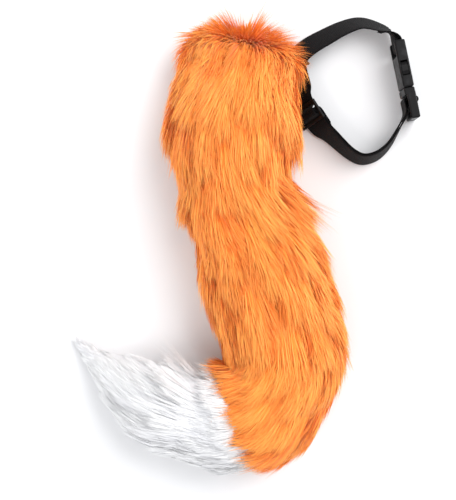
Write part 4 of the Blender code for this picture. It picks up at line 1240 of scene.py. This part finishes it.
@dataclass
class Webbing:
    """The belt's one length of webbing, which runs under its keeper and ends at its sewn ends."""

    line: BeltLine
    bench: Bench
    station_step: float = 5 * MM
    sewn_end: float = 24 * MM
    sewn_step: float = 13 * MM
    wrap_steps: int = 6
    fold_radius: float = 2.6 * MM
    slider_clear: float = 18 * MM
    plug_clear: float = 10 * MM
    socket_clear: float = 14 * MM
    selvedge: float = 0.42 * MM
    socket_inside: tuple[Station, ...] = (
        Station(0.32, -0.72), Station(0.12, -1.0), Station(-0.08, -1.0),
    )
    socket_outside: tuple[Station, ...] = (
        Station(-0.08, 1.0), Station(0.12, 0.85), Station(0.32, 0.3),
    )
    plug_climb: tuple[Station, ...] = (
        Station(-0.272, 0.10), Station(-0.184, 0.32), Station(-0.124, 0.68),
    )
    plug_drop: float = 0.55
    slider_pass: tuple[Station, ...] = (
        Station(1.0, 0.0), Station(0.64, 0.0), Station(0.494, 0.433), Station(0.326, 1.0),
    )
    anchor_in: tuple[Station, ...] = (Station(1.35, 1.0), Station(0.79, 1.0), Station(0.44, 0.72))
    anchor_out: tuple[Station, ...] = (
        Station(-0.20, 0.75), Station(-0.02, 1.344), Station(0.34, 1.481), Station(0.90, 1.458),
        Station(1.46, 1.458),
    )

    def run(self, start: float, end: float, o: float) -> list[tuple[float, float]]:
        """Even stations along a plain run."""
        count = max(1, round(abs(end - start) / self.station_step))
        return [(start + (end - start) * i / count, o) for i in range(count + 1)]

    def turn(
        self, s: float, o: float, radius: float, from_deg: float, to_deg: float, steps: int,
    ) -> list[tuple[float, float]]:
        """Stations on an arc about a bar."""
        angles = np.radians(np.linspace(from_deg, to_deg, steps + 1))
        return [(s + radius * math.cos(a), o + radius * math.sin(a)) for a in angles]

    def route(self) -> list[tuple[float, float]]:
        """(s, o) stations of the whole webbing, from one sewn end to the other."""
        line = self.line
        pitch = line.thickness + line.layer_gap
        wrap = 0.5 * (line.strap_bar + line.thickness) + line.wrap_gap
        bar_s = 0.5 * line.strap_bar - line.socket_bar_width - line.bar_inset
        route = self.run(self.sewn_end, self.sewn_step, -pitch)
        route += [(row.along * line.width, row.out * wrap) for row in self.socket_inside]
        route += self.turn(bar_s, 0.0, wrap, -90, -270, self.wrap_steps)
        route += [(row.along * line.width, row.out * wrap) for row in self.socket_outside]
        route += self.run(self.socket_clear, line.slider_s - self.slider_clear, 0.0)
        route += self.weave()
        plug_s = line.plug_bar_s
        climb = line.plug_bar_rise + line.strap_side
        route += self.run(line.slider_s + self.slider_clear, plug_s - self.plug_clear, 0.0)
        route += [(plug_s + row.along * line.width, row.out * climb) for row in self.plug_climb]
        route += self.turn(plug_s, climb, wrap, 180, 0, self.wrap_steps)
        route += [(plug_s + wrap, self.plug_drop * climb)]
        fold_s = plug_s + wrap - self.fold_radius
        route += self.turn(fold_s, self.fold_radius - pitch, self.fold_radius, 0, -90, 4)
        back = line.slider_s + 1.2 * self.slider_clear
        route += self.run(plug_s - 0.6 * self.plug_clear, back, -pitch)
        return route + self.anchor()

    def weave(self) -> list[tuple[float, float]]:
        """Under an outer bar of the slider, over its middle bar and under the other."""
        line = self.line
        under = -0.5 * (line.slider_thickness + line.thickness) - line.touch_gap
        over = 0.5 * line.slider_thickness + 1.5 * line.thickness + 3.2 * line.touch_gap
        reach = 0.5 * line.slider_mid_bar + line.slider_slot + line.slider_bar
        half = [(row.along * reach, under + row.out * (over - under)) for row in self.slider_pass]
        before = [(line.slider_s - s, o) for s, o in half]
        after = [(line.slider_s + s, o) for s, o in reversed(half)]
        return before + [(line.slider_s, over + 0.5 * line.layer_gap)] + after

    def anchor(self) -> list[tuple[float, float]]:
        """The sewn end: up through the slider, round its middle bar and back along itself."""
        line = self.line
        seat = line.slider_s
        pitch = line.thickness + line.layer_gap
        under = -0.5 * (line.slider_thickness + line.thickness) - line.touch_gap - pitch
        bar = math.hypot(line.slider_mid_bar, line.slider_thickness)
        wrap = 0.5 * (bar + line.thickness + line.touch_gap)
        reach = 0.5 * line.slider_mid_bar + line.slider_slot + line.slider_bar
        stations = [(seat + row.along * reach, row.out * under) for row in self.anchor_in]
        stations += self.turn(seat, 0.0, wrap, -8, 188, self.wrap_steps + 1)
        stations += [(seat + row.along * reach, row.out * under) for row in self.anchor_out]
        return stations + [(seat + self.sewn_end, -2 * pitch)]

    def strap(self) -> bpy.types.Object:
        """The webbing as one ribbon with rounded selvedges, mapped along and across."""
        line = self.line
        route = self.route()
        middles = [line.point(s, o, 0.0) for s, o in route]
        half_wide = 0.5 * line.width
        half_thick = 0.5 * line.thickness
        cut = self.selvedge
        outline = (
            (-half_wide, -0.35 * half_thick), (-half_wide + cut, -half_thick), (0.0, -half_thick),
            (half_wide - cut, -half_thick), (half_wide, -0.35 * half_thick),
            (half_wide, 0.35 * half_thick), (half_wide - cut, half_thick), (0.0, half_thick),
            (-half_wide + cut, half_thick), (-half_wide, 0.35 * half_thick),
        )
        verts: list[Vector] = []
        travel = [0.0]
        for i, (s, _) in enumerate(route):
            across = line.at(s)[3]
            before = middles[i] - middles[max(i - 1, 0)]
            after = middles[min(i + 1, len(route) - 1)] - middles[i]
            sides = [across.cross(way).normalized() for way in (before, after) if way.length > 0]
            normal = sum(sides, Vector()).normalized()
            mitre = 1.0 / max(normal.dot(sides[0]), 0.6)
            verts += [middles[i] + across * w + normal * (n * mitre) for w, n in outline]
            if i:
                travel.append(travel[-1] + before.length)
        count = len(outline)
        faces: list[tuple[int, ...]] = [tuple(range(count))]
        spots = [[(travel[0], w) for w, _ in outline]]
        for row in range(len(route) - 1):
            for k in range(count):
                low, side = row * count + k, row * count + (k + 1) % count
                faces.append((low, side, side + count, low + count))
                here, there = outline[k][0], outline[(k + 1) % count][0]
                start, end = travel[row], travel[row + 1]
                spots.append([(start, here), (start, there), (end, there), (end, here)])
        last = (len(route) - 1) * count
        faces.append(tuple(last + k for k in reversed(range(count))))
        spots.append([(travel[-1], w) for w, _ in reversed(outline)])
        mesh = self.bench.mesh("belt_strap", verts, faces)
        layer = mesh.uv_layers.new(name="strap")
        layer.data.foreach_set("uv", np.array([spot for face in spots for spot in face]).ravel())
        self.bench.outwards(mesh)
        # The first colour is painted shade in the weave's hollows, the second a painted highlight on its
        # rib crests.
        finish = WebbingFinish("belt_weave", (0.0020, 0.0017, 0.0019), (0.0075, 0.0062, 0.0070))
        mesh.materials.append(finish.build())
        made = self.bench.piece("belt_strap", mesh)
        soften = made.modifiers.new("soften", "SUBSURF")
        soften.levels = 1
        soften.render_levels = 1
        self.bench.applied(made)
        return self.bench.hand_over(made, Slot.WEBBING, ("belt_webbing",))


@dataclass
class Stitching:
    """Rows of thread sunk in the webbing, laid by Geometry Nodes along their lines."""

    line: BeltLine
    bench: Bench
    pitch: float = 2.6 * MM
    thread: float = 0.32 * MM
    long: float = 2.0 * MM
    margin: float = 3.4 * MM
    seam_from: float = 13.5 * MM
    seam_to: float = 23 * MM
    spans: int = 8
    sunk: float = 0.1 * MM

    def box(self, s: float, o: float, crossed: bool) -> list[list[Vector]]:
        """The lines of a sewn box on the webbing's face, crossed from corner to corner or not."""
        wide = 0.5 * self.line.width - self.margin
        low, high = s + self.seam_from, s + self.seam_to
        corners = [(low, -wide), (high, -wide), (high, wide), (low, wide)]
        pairs = [(corners[k], corners[(k + 1) % 4]) for k in range(4)]
        if crossed:
            pairs += [(corners[0], corners[2]), (corners[1], corners[3])]
        lines = []
        for (from_s, from_w), (to_s, to_w) in pairs:
            shares = np.linspace(0.0, 1.0, self.spans + 1)
            lines.append([
                self.line.point(from_s + (to_s - from_s) * k, o, from_w + (to_w - from_w) * k)
                for k in shares
            ])
        return lines

    def capsule(self) -> bpy.types.Object:
        """One stitch along x."""
        sheet = bmesh.new()
        bmesh.ops.create_uvsphere(sheet, u_segments=8, v_segments=6, radius=0.5)
        stretch = Matrix.Diagonal((self.thread, self.thread, self.long, 1.0))
        bmesh.ops.transform(sheet, matrix=stretch, verts=sheet.verts)
        mesh = bpy.data.meshes.new("stitch")
        sheet.to_mesh(mesh)
        sheet.free()
        return self.bench.piece("stitch", mesh)

    def tree(self) -> bpy.types.NodeTree:
        """Lines to evenly spaced stitches."""
        tree = bpy.data.node_groups.new("stitch_rows", "GeometryNodeTree")
        face = tree.interface
        face.new_socket("Geometry", in_out="INPUT", socket_type="NodeSocketGeometry")
        face.new_socket("Pitch", in_out="INPUT", socket_type="NodeSocketFloat")
        face.new_socket("Stitch", in_out="INPUT", socket_type="NodeSocketObject")
        face.new_socket("Finish", in_out="INPUT", socket_type="NodeSocketMaterial")
        face.new_socket("Geometry", in_out="OUTPUT", socket_type="NodeSocketGeometry")
        sheet = NodeSheet(tree)
        given = sheet.node("NodeGroupInput").outputs
        curves = sheet.node("GeometryNodeMeshToCurve")
        sheet.put(curves, Mesh=given["Geometry"])
        even = sheet.node("GeometryNodeResampleCurve", mode="LENGTH")
        sheet.put(even, Curve=curves.outputs[0], Length=given["Pitch"])
        tangent = sheet.node("GeometryNodeInputTangent").outputs[0]
        turned = sheet.node("FunctionNodeAlignRotationToVector", axis="Z")
        sheet.put(turned, Vector=tangent)
        stitch = sheet.node("GeometryNodeObjectInfo")
        sheet.put(stitch, Object=given["Stitch"])
        copies = sheet.node("GeometryNodeInstanceOnPoints")
        sheet.put(copies, Points=even.outputs[0], Instance=stitch.outputs["Geometry"])
        sheet.put(copies, Rotation=turned.outputs[0])
        real = sheet.node("GeometryNodeRealizeInstances")
        sheet.put(real, Geometry=copies.outputs[0])
        finished = sheet.node("GeometryNodeSetMaterial")
        sheet.put(finished, Geometry=real.outputs[0], Material=given["Finish"])
        out = sheet.node("NodeGroupOutput")
        sheet.feed(out.inputs[0], finished.outputs[0])
        return tree

    def sew(self) -> bpy.types.Object:
        """Every row of stitches on the belt, as one piece."""
        layer = self.line.thickness + self.line.layer_gap
        face = 0.5 * self.line.thickness + self.sunk
        lines = self.box(0.0, face, True)
        lines += self.box(0.0, -layer - face, True)
        lines += self.box(self.line.slider_s, -2 * layer - face, False)
        verts = [point for row in lines for point in row]
        starts = [number * (self.spans + 1) for number in range(len(lines))]
        edges = [(start + k, start + k + 1) for start in starts for k in range(self.spans)]
        mesh = bpy.data.meshes.new("belt_stitches")
        mesh.from_pydata([point + self.bench.shift for point in verts], edges, [])
        made = self.bench.piece("belt_stitches", mesh)
        stitch = self.capsule()
        thread = PlainFinish("belt_thread", (0.020, 0.019, 0.021), 0.55, 0.3).build()
        values = {"Pitch": self.pitch, "Stitch": stitch, "Finish": thread}
        self.bench.grown(made, self.tree(), values)
        bpy.data.objects.remove(stitch)
        return self.bench.hand_over(made, Slot.WEBBING)


@dataclass
class Moulding:
    """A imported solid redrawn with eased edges."""

    frame: dict
    bench: Bench
    weld: float = 0.002 * MM
    flat_deg: float = 1.0
    sharp_deg: float = 32.0

    def eased(
        self, node: str, name: str, edge: float, finish: PlasticFinish | WebbingFinish, slot: Slot,
    ) -> bpy.types.Object:
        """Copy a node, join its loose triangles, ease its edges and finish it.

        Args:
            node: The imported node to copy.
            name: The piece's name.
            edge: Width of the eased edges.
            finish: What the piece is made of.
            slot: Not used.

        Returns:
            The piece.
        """
        sheet = bmesh.new()
        sheet.from_mesh(self.frame["nodes"][node].data)
        bmesh.ops.remove_doubles(sheet, verts=sheet.verts, dist=self.weld)
        bmesh.ops.dissolve_limit(
            sheet, angle_limit=math.radians(self.flat_deg), verts=sheet.verts, edges=sheet.edges,
        )
        mesh = bpy.data.meshes.new(name)
        sheet.to_mesh(mesh)
        sheet.free()
        made = self.bench.piece(name, mesh)
        bevel = made.modifiers.new("edges", "BEVEL")
        bevel.width = edge
        bevel.segments = 2
        bevel.limit_method = "ANGLE"
        bevel.angle_limit = math.radians(self.sharp_deg)
        bevel.use_clamp_overlap = True
        self.bench.applied(made)
        made.data.materials.clear()
        made.data.materials.append(finish.build())
        return self.bench.hand_over(made, slot, (node,), smooth_faces=False)


@dataclass
class Studio:
    """Floor, lights and the camera over the layout's middle."""

    shift: Vector
    camera_height: float = 1.2
    picture_height: float = 0.426
    sensor: float = 36.0
    floor_size: float = 6.0
    key_place: tuple[float, float, float] = (1.25, 1.10, 1.95)
    key_size: float = 2.1
    key_power: float = 60.0
    fill_place: tuple[float, float, float] = (-1.1, -1.0, 1.6)
    fill_power: float = 14.0
    sky: float = 0.76

    def floor(self) -> bpy.types.Object:
        """A plain pale floor."""
        half = 0.5 * self.floor_size
        corners = [(-half, -half, 0.0), (half, -half, 0.0), (half, half, 0.0), (-half, half, 0.0)]
        mesh = bpy.data.meshes.new("floor")
        mesh.from_pydata(corners, [], [(0, 1, 2, 3)])
        mesh.materials.append(PlainFinish("pale_floor", (0.86, 0.86, 0.87), 0.6).build())
        made = bpy.data.objects.new("floor", mesh)
        bpy.context.scene.collection.objects.link(made)
        return made

    def lamp(self, name: str, place: Sequence[float], size: float, power: float) -> None:
        """A soft square light aimed at the layout's middle."""
        data = bpy.data.lights.new(name, "AREA")
        data.size = size
        data.energy = power
        made = bpy.data.objects.new(name, data)
        bpy.context.scene.collection.objects.link(made)
        made.location = place
        made.rotation_euler = (-Vector(place)).to_track_quat("-Z", "Y").to_euler()

    def light(self) -> None:
        """The lamps and the pale surroundings."""
        self.lamp("key", self.key_place, self.key_size, self.key_power)
        self.lamp("fill", self.fill_place, 1.2, self.fill_power)
        world = bpy.data.worlds.new("surroundings")
        world.use_nodes = True
        back = world.node_tree.nodes["Background"]
        back.inputs["Color"].default_value = (0.97, 0.98, 1.0, 1.0)
        back.inputs["Strength"].default_value = self.sky
        bpy.context.scene.world = world
        bpy.context.scene.view_settings.view_transform = "Standard"

    def camera(self) -> None:
        """Straight above the middle of the picture."""
        data = bpy.data.cameras.new("camera")
        data.sensor_width = self.sensor
        data.lens = self.sensor * self.camera_height / self.picture_height
        data.clip_start = 0.05
        made = bpy.data.objects.new("camera", data)
        bpy.context.scene.collection.objects.link(made)
        made.location = (self.shift.x, self.shift.y, self.camera_height)
        bpy.context.scene.camera = made


def main() -> None:
    """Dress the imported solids."""
    logging.basicConfig(level=logging.INFO, format="%(name)s: %(message)s")
    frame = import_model()
    form = TailForm()
    line = BeltLine(form)
    low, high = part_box("strap_slider")
    shift = 0.5 * (low + high) - line.slider_frame[0]
    LOG.info("layout moved by %.2f, %.2f, %.2f mm", *(part / MM for part in shift))
    bench = Bench(shift)
    undercoat = Undercoat(form, bench)
    undercoat.orange()
    undercoat.white()
    Fur(form, bench).build()
    Webbing(line, bench).strap()
    Stitching(line, bench).sew()
    moulding = Moulding(frame, bench)
    plastic = PlasticFinish("moulded_plastic", (0.006, 0.0055, 0.006), (0.018, 0.0175, 0.019), 0.36)
    # The first colour is painted shade in the weave's hollows, the second a painted highlight on its rib
    # crests.
    keeper_weave = WebbingFinish(
        "keeper_weave", (0.0020, 0.0017, 0.0019), (0.0075, 0.0062, 0.0070), on_strap=False,
    )
    moulding.eased("belt_keeper", "keeper_loop", 0.25 * MM, keeper_weave, Slot.WEBBING)
    moulding.eased("buckle_socket", "socket_moulding", 0.3 * MM, plastic, Slot.PLASTIC)
    moulding.eased("buckle_plug", "plug_moulding", 0.3 * MM, plastic, Slot.PLASTIC)
    moulding.eased("strap_slider", "slider_moulding", 0.25 * MM, plastic, Slot.PLASTIC)
    studio = Studio(shift)
    studio.floor()
    studio.light()
    studio.camera()


if __name__ == "__main__":
    main()
